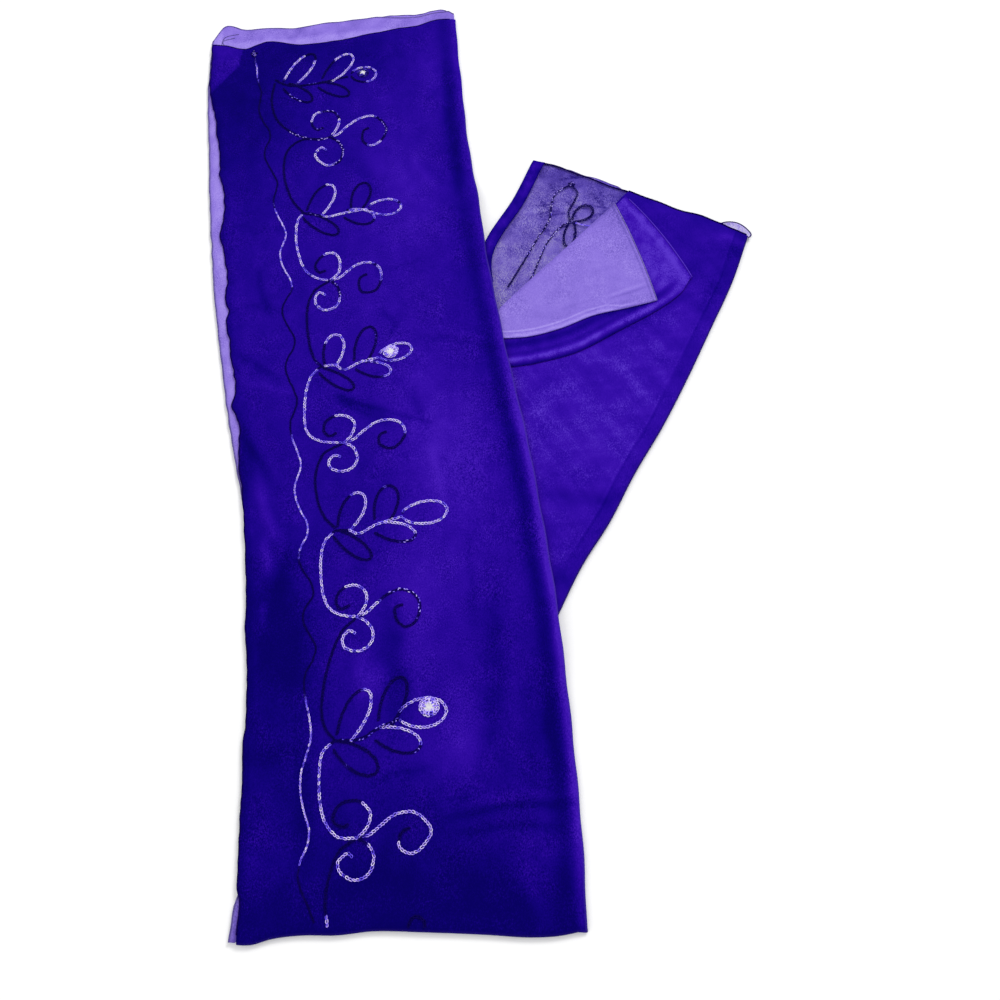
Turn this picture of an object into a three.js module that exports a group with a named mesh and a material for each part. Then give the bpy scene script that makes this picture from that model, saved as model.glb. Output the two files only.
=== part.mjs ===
// A sarong of sheer violet georgette over lavender crepe, folded lengthwise in four
// into a strip, folded once across, and laid flat in a narrow V.
// Millimetres, +Z up. The cloth lies on Z = 0. X runs across the front leg and Y up it,
// away from the fold at the bottom. The origin is under the middle of the whole outline.

import * as THREE from 'three';

// ---------------------------------------------------------------- driving sizes
const CUT_WIDTH = 1120; // the cloth as cut, across
const PLIES = 4; // thicknesses of the lengthwise fold
const STRIP = CUT_WIDTH / PLIES; // 280, the width of the folded strip
const WALL = 1.0; // one cloth layer, as a wall
const GAP = 0.3; // between two layers
const STEP = WALL + GAP; // from one layer to the next
const CORE_BACK = 2.2; // the hidden layers of the back leg
const CORE_FRONT = 2.4; // the hidden layers of the front leg
const FOLD_REACH = 7; // how far in a folded edge starts to turn down
const BAND = 13; // hem band on the back leg
const EDGE_LAYERS = 3; // layers that show at an open edge of the hidden layers
const LAYER_NICK = 0.6; // how far the slots between them go in

// Heights of the undersides, from the surface up.
const Z_LINING_BACK = CORE_BACK + GAP;
const Z_PLY_BACK = Z_LINING_BACK + STEP;
const Z_OVERLAY_BACK = Z_PLY_BACK + STEP;
const Z_TURNED_OVERLAY = Z_OVERLAY_BACK + STEP;
const Z_TURNED_LINING = Z_TURNED_OVERLAY + STEP;
const BACK_TOP = Z_OVERLAY_BACK + WALL; // the back leg, away from the turned corner
const TURNED_TOP = Z_TURNED_LINING + WALL; // the back leg at the turned corner
const BED = BACK_TOP + GAP; // what the front leg lies on where it crosses

// ---------------------------------------------------------------- section tables
// Sections of the front leg, from the fold at the bottom to the open end at the top.
// x, y: middle. lean: degrees the section is turned. width: share of the strip's width.
// tuck: how far the overlay's edge stops short of the lining's, at the left.
// under: where the covered back leg's left side runs, as a share of the way across.
// rest: 1 where the right-hand edge lies as high as the middle, 0 where it comes down.
const FRONT = [
  { x: -72, y: 0, lean: 1.2, width: 1.003, tuck: 5, under: 0.36, rest: 0 },
  { x: -72, y: 91, lean: 1.7, width: 0.989, tuck: 0, under: 0.38, rest: 0 },
  { x: -79, y: 180, lean: 2.9, width: 0.986, tuck: 0, under: 0.4, rest: 0.2 },
  { x: -84, y: 248, lean: 5.0, width: 0.979, tuck: 0, under: 0.43, rest: 1 },
  { x: -94, y: 324, lean: 6.5, width: 0.975, tuck: 0, under: 0.46, rest: 1 },
  { x: -104, y: 394, lean: 8.6, width: 0.975, tuck: 2, under: 0.51, rest: 1 },
  { x: -120, y: 467, lean: 9.6, width: 0.986, tuck: 8, under: 0.6, rest: 1 },
  { x: -135, y: 541, lean: 9.9, width: 0.993, tuck: 12, under: 0.74, rest: 1 },
  { x: -149, y: 616, lean: 9.6, width: 1.0, tuck: 11, under: 0.84, rest: 1 },
  { x: -160, y: 692, lean: 9.2, width: 1.011, tuck: 12, under: 0.93, rest: 1 },
  { x: -171, y: 766, lean: 8.7, width: 1.011, tuck: 15, under: 1.2, rest: 1 },
  { x: -180, y: 840, lean: 8.3, width: 1.014, tuck: 10, under: 1.3, rest: 1 },
  { x: -188, y: 910, lean: 8.0, width: 1.021, tuck: 3, under: 1.3, rest: 1 },
  { x: -192, y: 982, lean: 8.1, width: 1.014, tuck: 0, under: 1.3, rest: 1 },
];

// The open end of the front leg: how far each cloth runs past the last section, across it.
const FRONT_END = [
  { across: 0, overlay: 0, lining: 7 },
  { across: 0.05, overlay: -4, lining: 27 },
  { across: 0.13, overlay: -13, lining: 19 },
  { across: 0.22, overlay: -5, lining: 17 },
  { across: 0.34, overlay: -14, lining: 13 },
  { across: 0.47, overlay: -15, lining: 17 },
  { across: 0.6, overlay: -11, lining: 17 },
  { across: 0.72, overlay: -6, lining: 19 },
  { across: 0.84, overlay: -3, lining: 16 },
  { across: 0.94, overlay: 4, lining: 20 },
  { across: 1, overlay: 0, lining: 15 },
];

// Sections of the back leg, from where it comes out under the front leg to its open end.
const BACK = [
  { x: 46, y: 264, lean: -26.6, width: 0.032 },
  { x: 54, y: 322, lean: -24.9, width: 0.161 },
  { x: 64, y: 374, lean: -25.6, width: 0.296 },
  { x: 70, y: 434, lean: -25.6, width: 0.454 },
  { x: 78, y: 494, lean: -25.5, width: 0.621 },
  { x: 85, y: 557, lean: -25.4, width: 0.782 },
  { x: 96, y: 616, lean: -22.4, width: 0.893 },
  { x: 128, y: 684, lean: -25.4, width: 0.889 },
  { x: 148, y: 736, lean: -24.6, width: 0.882 },
];

// The straight crease where the top ply turns back on itself, up to the open end.
const CREASE = { x: -1.5, y: 589, endX: 134, endY: 739 };

// The open end of the back leg: how far each cloth runs past the last section.
const BACK_END = [
  { across: 0, overlay: 0, lining: -1 },
  { across: 0.1, overlay: 2, lining: 1 },
  { across: 0.3, overlay: 1, lining: 3 },
  { across: 0.45, overlay: 0, lining: -1 },
  { across: 0.62, overlay: 2, lining: 0 },
  { across: 0.8, overlay: 2, lining: 1 },
  { across: 0.9, overlay: -2, lining: 6 },
  { across: 1, overlay: -2, lining: 5 },
];

// The turned-back corner: rows from under the front leg to its right-hand side.
// Each row runs from the crease (cx, cy) to the loose edge (ex, ey). bow: how far the
// row's middle stands out to the right.
const TURNED_LINING = [
  { cx: -8, cy: 581, ex: -4, ey: 554, bow: 0 },
  { cx: 14, cy: 606, ex: 30, ey: 557, bow: 0.5 },
  { cx: 42, cy: 637, ex: 62, ey: 567, bow: 1 },
  { cx: 69, cy: 666, ex: 94, ey: 582, bow: 1.5 },
  { cx: 96, cy: 696, ex: 128, ey: 591, bow: 2 },
  { cx: 122, cy: 724, ex: 159, ey: 600, bow: 2.5 },
];
const TURNED_OVERLAY = [
  { cx: -8, cy: 577, ex: 2, ey: 521, bow: 0 },
  { cx: 18, cy: 606, ex: 34, ey: 526, bow: 0 },
  { cx: 50, cy: 640, ex: 76, ey: 539, bow: 0 },
  { cx: 80, cy: 674, ex: 120, ey: 565, bow: 0 },
  { cx: 108, cy: 706, ex: 163, ey: 592, bow: 1 },
  { cx: 134, cy: 736, ex: 200, ey: 624, bow: 2 },
];
const ROLL_HEIGHT = 1.2; // how much thicker the soft roll is at the loose edge
const ROLL_WIDTH = 0.2; // its share of a row

// ---------------------------------------------------------------- small helpers
const clamp = (t) => Math.min(1, Math.max(0, t));
const smooth = (t) => clamp(t) * clamp(t) * (3 - 2 * clamp(t));
const mix = (a, b, t) => a + (b - a) * t;
const radians = (d) => (d * Math.PI) / 180;

// A value from a table at key k, on a smooth curve through its rows.
function look(table, key, column, k) {
  let i = 0;
  while (i < table.length - 2 && k > table[i + 1][key]) i += 1;
  const a = table[i];
  const b = table[i + 1];
  const t = clamp((k - a[key]) / (b[key] - a[key]));
  const slope = (p, q) => (q[column] - p[column]) / (q[key] - p[key]);
  const here = slope(a, b);
  const before = i > 0 ? (slope(table[i - 1], a) + here) / 2 : here;
  const after = i < table.length - 2 ? (slope(b, table[i + 2]) + here) / 2 : here;
  const d = b[key] - a[key];
  const t2 = t * t;
  const t3 = t2 * t;
  return (
    (2 * t3 - 3 * t2 + 1) * a[column] +
    (t3 - 2 * t2 + t) * d * before +
    (-2 * t3 + 3 * t2) * b[column] +
    (t3 - t2) * d * after
  );
}

// Adds to each row its share of the way along the middle line.
function measured(table) {
  let run = 0;
  const at = table.map((row, i) => {
    if (i > 0) run += Math.hypot(row.x - table[i - 1].x, row.y - table[i - 1].y);
    return run;
  });
  return table.map((row, i) => ({ ...row, along: at[i] / run }));
}
const lengthOf = (table) =>
  table.reduce((sum, row, i) => (i ? sum + Math.hypot(row.x - table[i - 1].x, row.y - table[i - 1].y) : 0), 0);
const front = measured(FRONT);
const back = measured(BACK);

// A point of a leg: u across from left to right, v along, past the last section by `past`.
function onLeg(table, u, v, past = 0) {
  const lean = radians(look(table, 'along', 'lean', v));
  const half = (look(table, 'along', 'width', v) * STRIP) / 2;
  const side = (2 * u - 1) * half;
  return [
    look(table, 'along', 'x', v) + side * Math.cos(lean) - past * Math.sin(lean),
    look(table, 'along', 'y', v) + side * Math.sin(lean) + past * Math.cos(lean),
  ];
}

// A closed solid between two grids of (nu + 1) x (nv + 1) points that share their rows
// and columns. sides: loops between the lower and the upper rim, from the bottom up,
// each a function of a rim cell that gives its point.
function solidBetween(nu, nv, lower, upper, sides = []) {
  const points = [];
  const faces = [];
  const put = (p) => points.push(p) - 1;
  const grid = (at) =>
    Array.from({ length: nv + 1 }, (_, j) => Array.from({ length: nu + 1 }, (_, i) => put(at(i, j))));
  const low = grid(lower);
  const high = grid(upper);
  for (let j = 0; j < nv; j += 1) {
    for (let i = 0; i < nu; i += 1) {
      const quad = (g) => [g[j][i], g[j][i + 1], g[j + 1][i + 1], g[j + 1][i]];
      const [a, b, c, d] = quad(high);
      faces.push([a, b, c], [a, c, d]);
      const [e, f, g, h] = quad(low);
      faces.push([e, g, f], [e, h, g]);
    }
  }
  const rim = [];
  for (let i = 0; i < nu; i += 1) rim.push([i, 0]);
  for (let j = 0; j < nv; j += 1) rim.push([nu, j]);
  for (let i = nu; i > 0; i -= 1) rim.push([i, nv]);
  for (let j = nv; j > 0; j -= 1) rim.push([0, j]);
  const loops = [
    rim.map(([i, j]) => low[j][i]),
    ...sides.map((side) => rim.map(([i, j]) => put(side(i, j)))),
    rim.map(([i, j]) => high[j][i]),
  ];
  for (let k = 0; k + 1 < loops.length; k += 1) {
    for (let n = 0; n < rim.length; n += 1) {
      const m = (n + 1) % rim.length;
      const [a, b, c, d] = [loops[k][n], loops[k][m], loops[k + 1][m], loops[k + 1][n]];
      faces.push([a, b, c], [a, c, d]);
    }
  }
  const geometry = new THREE.BufferGeometry();
  geometry.setAttribute('position', new THREE.Float32BufferAttribute(points.flat(), 3));
  geometry.setIndex(faces.flat());
  geometry.computeVertexNormals();
  return geometry;
}

// The side loops of hidden layers: a stack of thin edges with slots between them.
// outline(i, j, inset) gives the plan point of a rim cell, moved in by inset.
function layeredSides(height, outline) {
  const loops = [];
  const one = height / EDGE_LAYERS;
  for (let k = 0; k < EDGE_LAYERS; k += 1) {
    const z = k * one;
    const levels = [
      { up: k === 0 ? 0.12 : 0.3, inset: 0 },
      { up: k === EDGE_LAYERS - 1 ? 0.6 : 0.7, inset: 0 },
    ];
    if (k > 0) levels.unshift({ up: 0, inset: LAYER_NICK });
    for (const { up, inset } of levels) {
      loops.push((i, j, top) => [...outline(i, j, inset), ((z + up * one) / height) * top]);
    }
  }
  return loops;
}

// ---------------------------------------------------------------- the front leg
const frontWidth = (v) => look(front, 'along', 'width', v) * STRIP;
const frontLength = lengthOf(front);

// Columns and rows that all layers of the front leg share, so that they nest.
const FRONT_ACROSS = [0.1, 0.2, 0.31, 0.42, 0.53, 0.64, 0.74, 0.83, 0.9];
const FRONT_ROWS = 24;
const CORE_STOP = 13; // how far short of the right-hand edge the hidden layers stop
const LINING_STOP = 9; // and the lining

// What the front leg lies on: the back leg, as a soft rise with long slopes, and its
// turned-back corner, which lifts the right-hand edge a little more.
function frontFloor(across, v) {
  const u = Math.min(across, 1 - CORE_STOP / frontWidth(v));
  const under = look(front, 'along', 'under', v);
  const rest = clamp(look(front, 'along', 'rest', v));
  const rise = smooth((u - (under - 0.2)) / 0.2);
  const fall = mix(smooth((1 - CORE_STOP / frontWidth(v) - u) / 0.18), 1, rest);
  const foot = smooth((v - 1 / FRONT_ROWS) / 0.06);
  const [, y] = onLeg(front, 1, v);
  const corner = smooth((y - 470) / 40) * smooth((650 - y) / 40) * smooth((u - 0.72) / 0.18);
  return BED * rise * fall * foot + (TURNED_TOP - BACK_TOP) * corner;
}

const TURN = [0, 0.45, 0.75, 0.93, 1]; // shares of a quarter turn, at a folded edge

// The hidden layers of the front leg, with what it covers of the back leg.
function innerLayersFront() {
  const nu = FRONT_ACROSS.length + 1;
  const nv = FRONT_ROWS;
  const plan = (i, j, inset) => {
    const v = Math.max(j / nv, 0.012);
    const w = frontWidth(v);
    const left = look(front, 'along', 'tuck', v) * 0.4 + 4 + inset;
    const across = [left / w, ...FRONT_ACROSS, 1 - (CORE_STOP + inset) / w];
    const lengthways = j === 0 ? inset : j === nv ? -7 - inset : 0;
    return { u: across[i], v: v + lengthways / frontLength };
  };
  const at = (i, j, inset) => {
    const { u, v } = plan(i, j, inset);
    return onLeg(front, u, v);
  };
  const top = (i, j) => {
    const { u, v } = plan(i, j, 0);
    return CORE_FRONT + frontFloor(u, v);
  };
  const sides = layeredSides(CORE_FRONT, at).map((loop) => (i, j) => loop(i, j, top(i, j) - 0.3));
  return solidBetween(
    nu,
    nv,
    (i, j) => [...at(i, j, 0.4), 0],
    (i, j) => [...at(i, j, 0.9), top(i, j)],
    sides,
  );
}

// The lining of the front leg: flat on the hidden layers, past them at the left and top.
function liningFront() {
  const nu = FRONT_ACROSS.length + 2;
  const nv = FRONT_ROWS;
  const at = (up) => (i, j) => {
    const v = Math.max(j / nv, 0.009);
    const w = frontWidth(v);
    const left = look(front, 'along', 'tuck', v) > 1 ? 0 : 2;
    const u = [left / w, ...FRONT_ACROSS, 1 - CORE_STOP / w, 1 - LINING_STOP / w][i];
    const past = j === nv ? look(FRONT_END, 'across', 'lining', u) : 0;
    return [...onLeg(front, u, v, past), CORE_FRONT + GAP + up + frontFloor(u, v)];
  };
  return solidBetween(nu, nv, at(0), at(WALL));
}

// The overlay of the front leg: turned down over the right-hand and bottom folds.
function overlayFront() {
  const turns = TURN.length - 1;
  const flatColumns = FRONT_ACROSS.length + 2;
  const nu = flatColumns + turns;
  const nv = FRONT_ROWS + turns;
  const at = (outer) => (i, j) => {
    const turnV = j < turns ? TURN[turns - j] : 0;
    const turnU = i > flatColumns ? TURN[i - flatColumns] : 0;
    const v0 = Math.max((j - turns) / FRONT_ROWS, FOLD_REACH / frontLength);
    const w = frontWidth(v0);
    const tuck = look(front, 'along', 'tuck', v0) / w;
    const u0 = [tuck, ...FRONT_ACROSS, 1 - CORE_STOP / w, 1 - FOLD_REACH / w][Math.min(i, flatColumns)];
    const reach = FOLD_REACH - (outer ? 0 : WALL);
    const u = u0 + (reach * Math.sin(radians(90 * turnU))) / w;
    const v = v0 - (reach * Math.sin(radians(90 * turnV))) / frontLength;
    const past = j === nv ? look(FRONT_END, 'across', 'overlay', u) : 0;
    const full = CORE_FRONT + GAP + STEP + frontFloor(u0, v0) + (outer ? WALL : 0);
    const rest = turnV > 0 ? 0 : turnU > 0 ? frontFloor(1, v0) : 0;
    const drop = Math.cos(radians(90 * turnU)) * Math.cos(radians(90 * turnV));
    return [...onLeg(front, u, v, past), rest + (full - rest) * drop];
  };
  return solidBetween(nu, nv, at(false), at(true));
}

// ---------------------------------------------------------------- the back leg
const backWidth = (v) => look(back, 'along', 'width', v) * STRIP;
const backLength = lengthOf(back);

// The hidden layers of the back leg.
function innerLayersBack() {
  const nu = 6;
  const nv = 16;
  const place = (i, j, inset) => {
    const v = mix(0.03, 0.986, j / nv);
    const w = backWidth(v);
    const left = Math.min(2.5, w * 0.1) + inset;
    const right = Math.min(4.5, w * 0.45) + inset;
    const lengthways = j === 0 ? inset : j === nv ? -inset : 0;
    return onLeg(back, mix(left / w, 1 - right / w, i / nu), v + lengthways / backLength);
  };
  const sides = layeredSides(CORE_BACK, place).map((loop) => (i, j) => loop(i, j, CORE_BACK - 0.3));
  return solidBetween(
    nu,
    nv,
    (i, j) => [...place(i, j, 0.4), 0],
    (i, j) => [...place(i, j, 0.8), CORE_BACK],
    sides,
  );
}

// A flat layer of the back leg, stopping short of the fold at the right.
function backLayer(z, left, right, endColumn, nu = 8, nv = 12) {
  const at = (up) => (i, j) => {
    const v = mix(0.006, 1, j / nv);
    const w = backWidth(v);
    const short = Math.min(right, w * 0.75);
    const u = mix(Math.min(left, w * 0.1) / w, 1 - short / w, i / nu);
    const past = j === nv ? look(BACK_END, 'across', endColumn, u) : 0;
    return [...onLeg(back, u, v, past), z + up];
  };
  return solidBetween(nu, nv, at(0), at(WALL));
}

// Where the crease crosses a section of the back leg, as a share of the way across.
function creaseAt(v) {
  const [lx, ly] = onLeg(back, 0, v);
  const [rx, ry] = onLeg(back, 1, v);
  const run = [CREASE.endX - CREASE.x, CREASE.endY - CREASE.y];
  const offset = (x, y) => (x - CREASE.x) * run[1] - (y - CREASE.y) * run[0];
  return -offset(lx, ly) / (offset(rx, ry) - offset(lx, ly));
}

// The top ply: from the crease, over the fold at the right, down to the surface.
function overlayBack() {
  const turns = TURN.length - 1;
  const nu = 8 + turns;
  const nv = 16;
  const at = (outer) => (i, j) => {
    const v = j / nv;
    const w = backWidth(v);
    const reach = Math.min(FOLD_REACH, w * 0.55);
    const crease = clamp(creaseAt(v));
    const flat = 1 - reach / w;
    const turn = i > nu - turns ? TURN[i - (nu - turns)] : 0;
    const u0 = i > nu - turns ? flat : mix(crease, flat, i / (nu - turns));
    const u = u0 + ((reach - (outer ? 0 : WALL)) * Math.sin(radians(90 * turn))) / w;
    const past = j === nv ? look(BACK_END, 'across', 'overlay', u) : 0;
    const full = Z_OVERLAY_BACK + (outer ? WALL : 0);
    return [...onLeg(back, u, v, past), full * Math.cos(radians(90 * turn))];
  };
  return solidBetween(nu, nv, at(false), at(true));
}

// The hem band along the left edge, lying on the single ply.
function edgeBandBack() {
  const nu = 3;
  const nv = 8;
  const from = 0.66; // where the band comes out from under the front leg
  const at = (up) => (i, j) => {
    const v = mix(from, 1, j / nv);
    const w = backWidth(v);
    return [...onLeg(back, (BAND * i) / nu / w, v), Z_OVERLAY_BACK + up * (i === 0 ? 0.5 : 1)];
  };
  return solidBetween(nu, nv, at(0), at(WALL));
}

// A piece of the turned-back corner, from its rows. lift: extra height over a row.
function turned(table, z, lift) {
  const rows = table.map((row, i) => ({ ...row, along: i / (table.length - 1) }));
  const nu = 10;
  const nv = 10;
  const at = (outer) => (i, j) => {
    const t = i / nu;
    const v = j / nv;
    const c = [look(rows, 'along', 'cx', v), look(rows, 'along', 'cy', v)];
    const e = [look(rows, 'along', 'ex', v), look(rows, 'along', 'ey', v)];
    const bow = look(rows, 'along', 'bow', v) * 4 * t * (1 - t);
    const run = Math.hypot(e[0] - c[0], e[1] - c[1]);
    const across = [(c[1] - e[1]) / run, (e[0] - c[0]) / run];
    return [
      mix(c[0], e[0], t) + across[0] * bow,
      mix(c[1], e[1], t) + across[1] * bow,
      z + (outer ? WALL + lift(t, v) : 0),
    ];
  };
  return solidBetween(nu, nv, at(false), at(true));
}

// The soft roll along the loose edge of the turned-back overlay.
function rollLift(t, v) {
  const k = (t - (1 - ROLL_WIDTH)) / ROLL_WIDTH;
  const fade = 1 - smooth((v - 0.45) / 0.35);
  return k <= 0 ? 0 : fade * ROLL_HEIGHT * Math.sin(Math.PI * Math.min(1, k * 0.85)) ** 2;
}

// ---------------------------------------------------------------- materials
const cloth = (color, roughness) => new THREE.MeshStandardMaterial({ color, roughness, metalness: 0 });
const violet = cloth(0x1e008c, 0.78);
const violetLit = cloth(0x3c0faf, 0.78);
const sheer = cloth(0x735fbe, 0.8);
const lavender = cloth(0x8c73e1, 0.8);
const hidden = cloth(0x2a1078, 0.85);

// ---------------------------------------------------------------- assembly
const group = new THREE.Group();
function add(name, geometry, material) {
  const mesh = new THREE.Mesh(geometry, material);
  mesh.name = name;
  group.add(mesh);
}

add('inner_layers_front', innerLayersFront(), hidden);
add('lining_front', liningFront(), lavender);
add('overlay_front', overlayFront(), violet);
add('inner_layers_back', innerLayersBack(), hidden);
add('lining_back', backLayer(Z_LINING_BACK, 1, 7, 'lining'), lavender);
add('overlay_back_ply', backLayer(Z_PLY_BACK, 0.5, 8, 'overlay'), sheer);
add('overlay_back', overlayBack(), violetLit);
add('edge_band_back', edgeBandBack(), violet);
add('turned_corner_overlay', turned(TURNED_OVERLAY, Z_TURNED_OVERLAY, rollLift), violetLit);
add('turned_corner_lining', turned(TURNED_LINING, Z_TURNED_LINING, () => 0), lavender);

// The origin goes under the middle of the outline, on the surface.
const box = new THREE.Box3().setFromObject(group);
const middle = box.getCenter(new THREE.Vector3());
group.position.set(-middle.x, -middle.y, 0);

export default group;
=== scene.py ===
import bpy
import math
import numpy as np
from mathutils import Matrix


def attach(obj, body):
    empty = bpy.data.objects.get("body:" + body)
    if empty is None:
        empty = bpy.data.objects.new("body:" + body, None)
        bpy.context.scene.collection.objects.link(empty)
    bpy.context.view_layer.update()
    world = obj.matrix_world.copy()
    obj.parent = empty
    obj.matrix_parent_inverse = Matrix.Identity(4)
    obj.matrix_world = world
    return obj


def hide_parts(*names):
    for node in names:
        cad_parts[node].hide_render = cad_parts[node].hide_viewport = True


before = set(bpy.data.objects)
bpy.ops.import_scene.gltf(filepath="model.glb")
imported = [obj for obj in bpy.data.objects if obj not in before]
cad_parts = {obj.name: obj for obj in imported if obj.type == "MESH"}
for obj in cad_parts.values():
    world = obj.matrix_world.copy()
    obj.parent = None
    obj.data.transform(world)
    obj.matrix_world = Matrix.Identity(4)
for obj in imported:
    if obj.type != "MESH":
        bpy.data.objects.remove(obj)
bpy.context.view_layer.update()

# ------------------------------------------------------------------ the construction's sizes (mm)
STRIP = 280.0
WALL, GAP, STEP = 1.0, 0.3, 1.3
CORE_BACK, CORE_FRONT = 2.2, 2.4
FOLD_REACH = 7.0
CORE_STOP, LINING_STOP = 13.0, 9.0
Z_LINING_BACK = CORE_BACK + GAP
Z_PLY_BACK = Z_LINING_BACK + STEP
Z_OVERLAY_BACK = Z_PLY_BACK + STEP
Z_TURNED_OVERLAY = Z_OVERLAY_BACK + STEP
Z_TURNED_LINING = Z_TURNED_OVERLAY + STEP
BACK_TOP = Z_OVERLAY_BACK + WALL
TURNED_TOP = Z_TURNED_LINING + WALL
BED = BACK_TOP + GAP
FRONT_ROWS = 24
MOVE = np.array([36.552, -508.230, 0.0])  # from the tables' frame to the part's
THIN = 0.36  # a cloth as drawn here


def table(columns, rows):
    return {c: np.array([r[i] for r in rows], float) for i, c in enumerate(columns.split())}


FRONT = table("x y lean width tuck under rest", [
    (-72, 0, 1.2, 1.003, 5, 0.36, 0), (-72, 91, 1.7, 0.989, 0, 0.38, 0),
    (-79, 180, 2.9, 0.986, 0, 0.40, 0.2), (-84, 248, 5.0, 0.979, 0, 0.43, 1),
    (-94, 324, 6.5, 0.975, 0, 0.46, 1), (-104, 394, 8.6, 0.975, 2, 0.51, 1),
    (-120, 467, 9.6, 0.986, 8, 0.60, 1), (-135, 541, 9.9, 0.993, 12, 0.74, 1),
    (-149, 616, 9.6, 1.0, 11, 0.84, 1), (-160, 692, 9.2, 1.011, 12, 0.93, 1),
    (-171, 766, 8.7, 1.011, 15, 1.2, 1), (-180, 840, 8.3, 1.014, 10, 1.3, 1),
    (-188, 910, 8.0, 1.021, 3, 1.3, 1), (-192, 982, 8.1, 1.014, 0, 1.3, 1)])
FRONT_END = table("across overlay lining", [
    (0, 0, 8), (0.05, -4, 30), (0.13, -13, 22), (0.22, -5, 21), (0.34, -14, 17), (0.47, -15, 20),
    (0.6, -11, 20.5), (0.72, -6, 22), (0.84, -3, 19), (0.94, 4, 23.5), (1, 0, 19)])
BACK = table("x y lean width", [
    (46, 264, -26.6, 0.032), (54, 322, -24.9, 0.161), (64, 374, -25.6, 0.296), (70, 434, -25.6, 0.454),
    (78, 494, -25.5, 0.621), (85, 557, -25.4, 0.782), (96, 616, -22.4, 0.893), (128, 684, -25.4, 0.889),
    (148, 736, -24.6, 0.882)])
CREASE = (-1.5, 589.0, 134.0, 739.0)
BACK_END = table("across overlay lining", [
    (0, 2, 1), (0.1, 5, 4), (0.3, 4, 6), (0.45, 4, 2.5), (0.62, 4, 2), (0.78, 4.5, 2), (0.87, 4.5, 2), (0.93, 2, 0),
    (1, 0.5, -2)])
BOTTOM_END = table("across past", [
    (0, -2.5), (0.06, -3.6), (0.12, 0.8), (0.2, 3), (0.3, 2.5), (0.4, 5), (0.55, 3.2), (0.72, 0.2), (0.84, -2.6),
    (0.92, -2), (1, 2)])
TURNED_LINING = table("cx cy ex ey bow", [
    (-8, 581, -4, 554, 0), (14, 606, 30, 557, 0.5), (42, 637, 62, 567, 1), (69, 666, 94, 582, 1.5),
    (96, 696, 128, 591, 2), (122, 724, 159, 600, 2.5)])
TURNED_OVERLAY = table("cx cy ex ey bow", [
    (-8, 577, 2, 521, 0), (18, 606, 34, 526, 0), (50, 640, 76, 539, 0), (80, 674, 120, 565, 0),
    (108, 706, 163, 592, 1.5), (134, 736, 200, 624, 4.6)])

# How far the left edge of the whole front leg draws in, low down.
LEFT_IN = table("y inset", [(-10, 0), (20, 0.8), (50, 2.2), (73, 3.6), (97, 4.8), (121, 7.2), (146, 7.6), (171, 10), (197, 9.4),
                            (224, 7), (251, 3.8), (279, 4.2), (309, 3.4), (345, 1.5), (400, 0), (990, 0)])

# How far the overlay's wavy edge stops short of the lining's, up the left side.
LEFT_WAVE = table("y short", [
    (-10, 6.5), (10, 5), (24, 4.5), (38, 0), (380, 0), (400, 1), (417, 3), (435, 6), (452, 9), (466, 8), (477, 5),
    (495, 11), (508, 12), (524, 10.5), (540, 11), (577, 11), (590, 13), (603, 10.6), (618, 13), (630, 15),
    (644, 14), (666, 12), (683, 9), (700, 13), (712, 14.7), (731, 16), (745, 15), (760, 12), (776, 11.5),
    (795, 13), (808, 11.5), (825, 9), (840, 9.5), (857, 8), (887, 3), (930, 1.5), (962, 0), (990, 0)])

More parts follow.
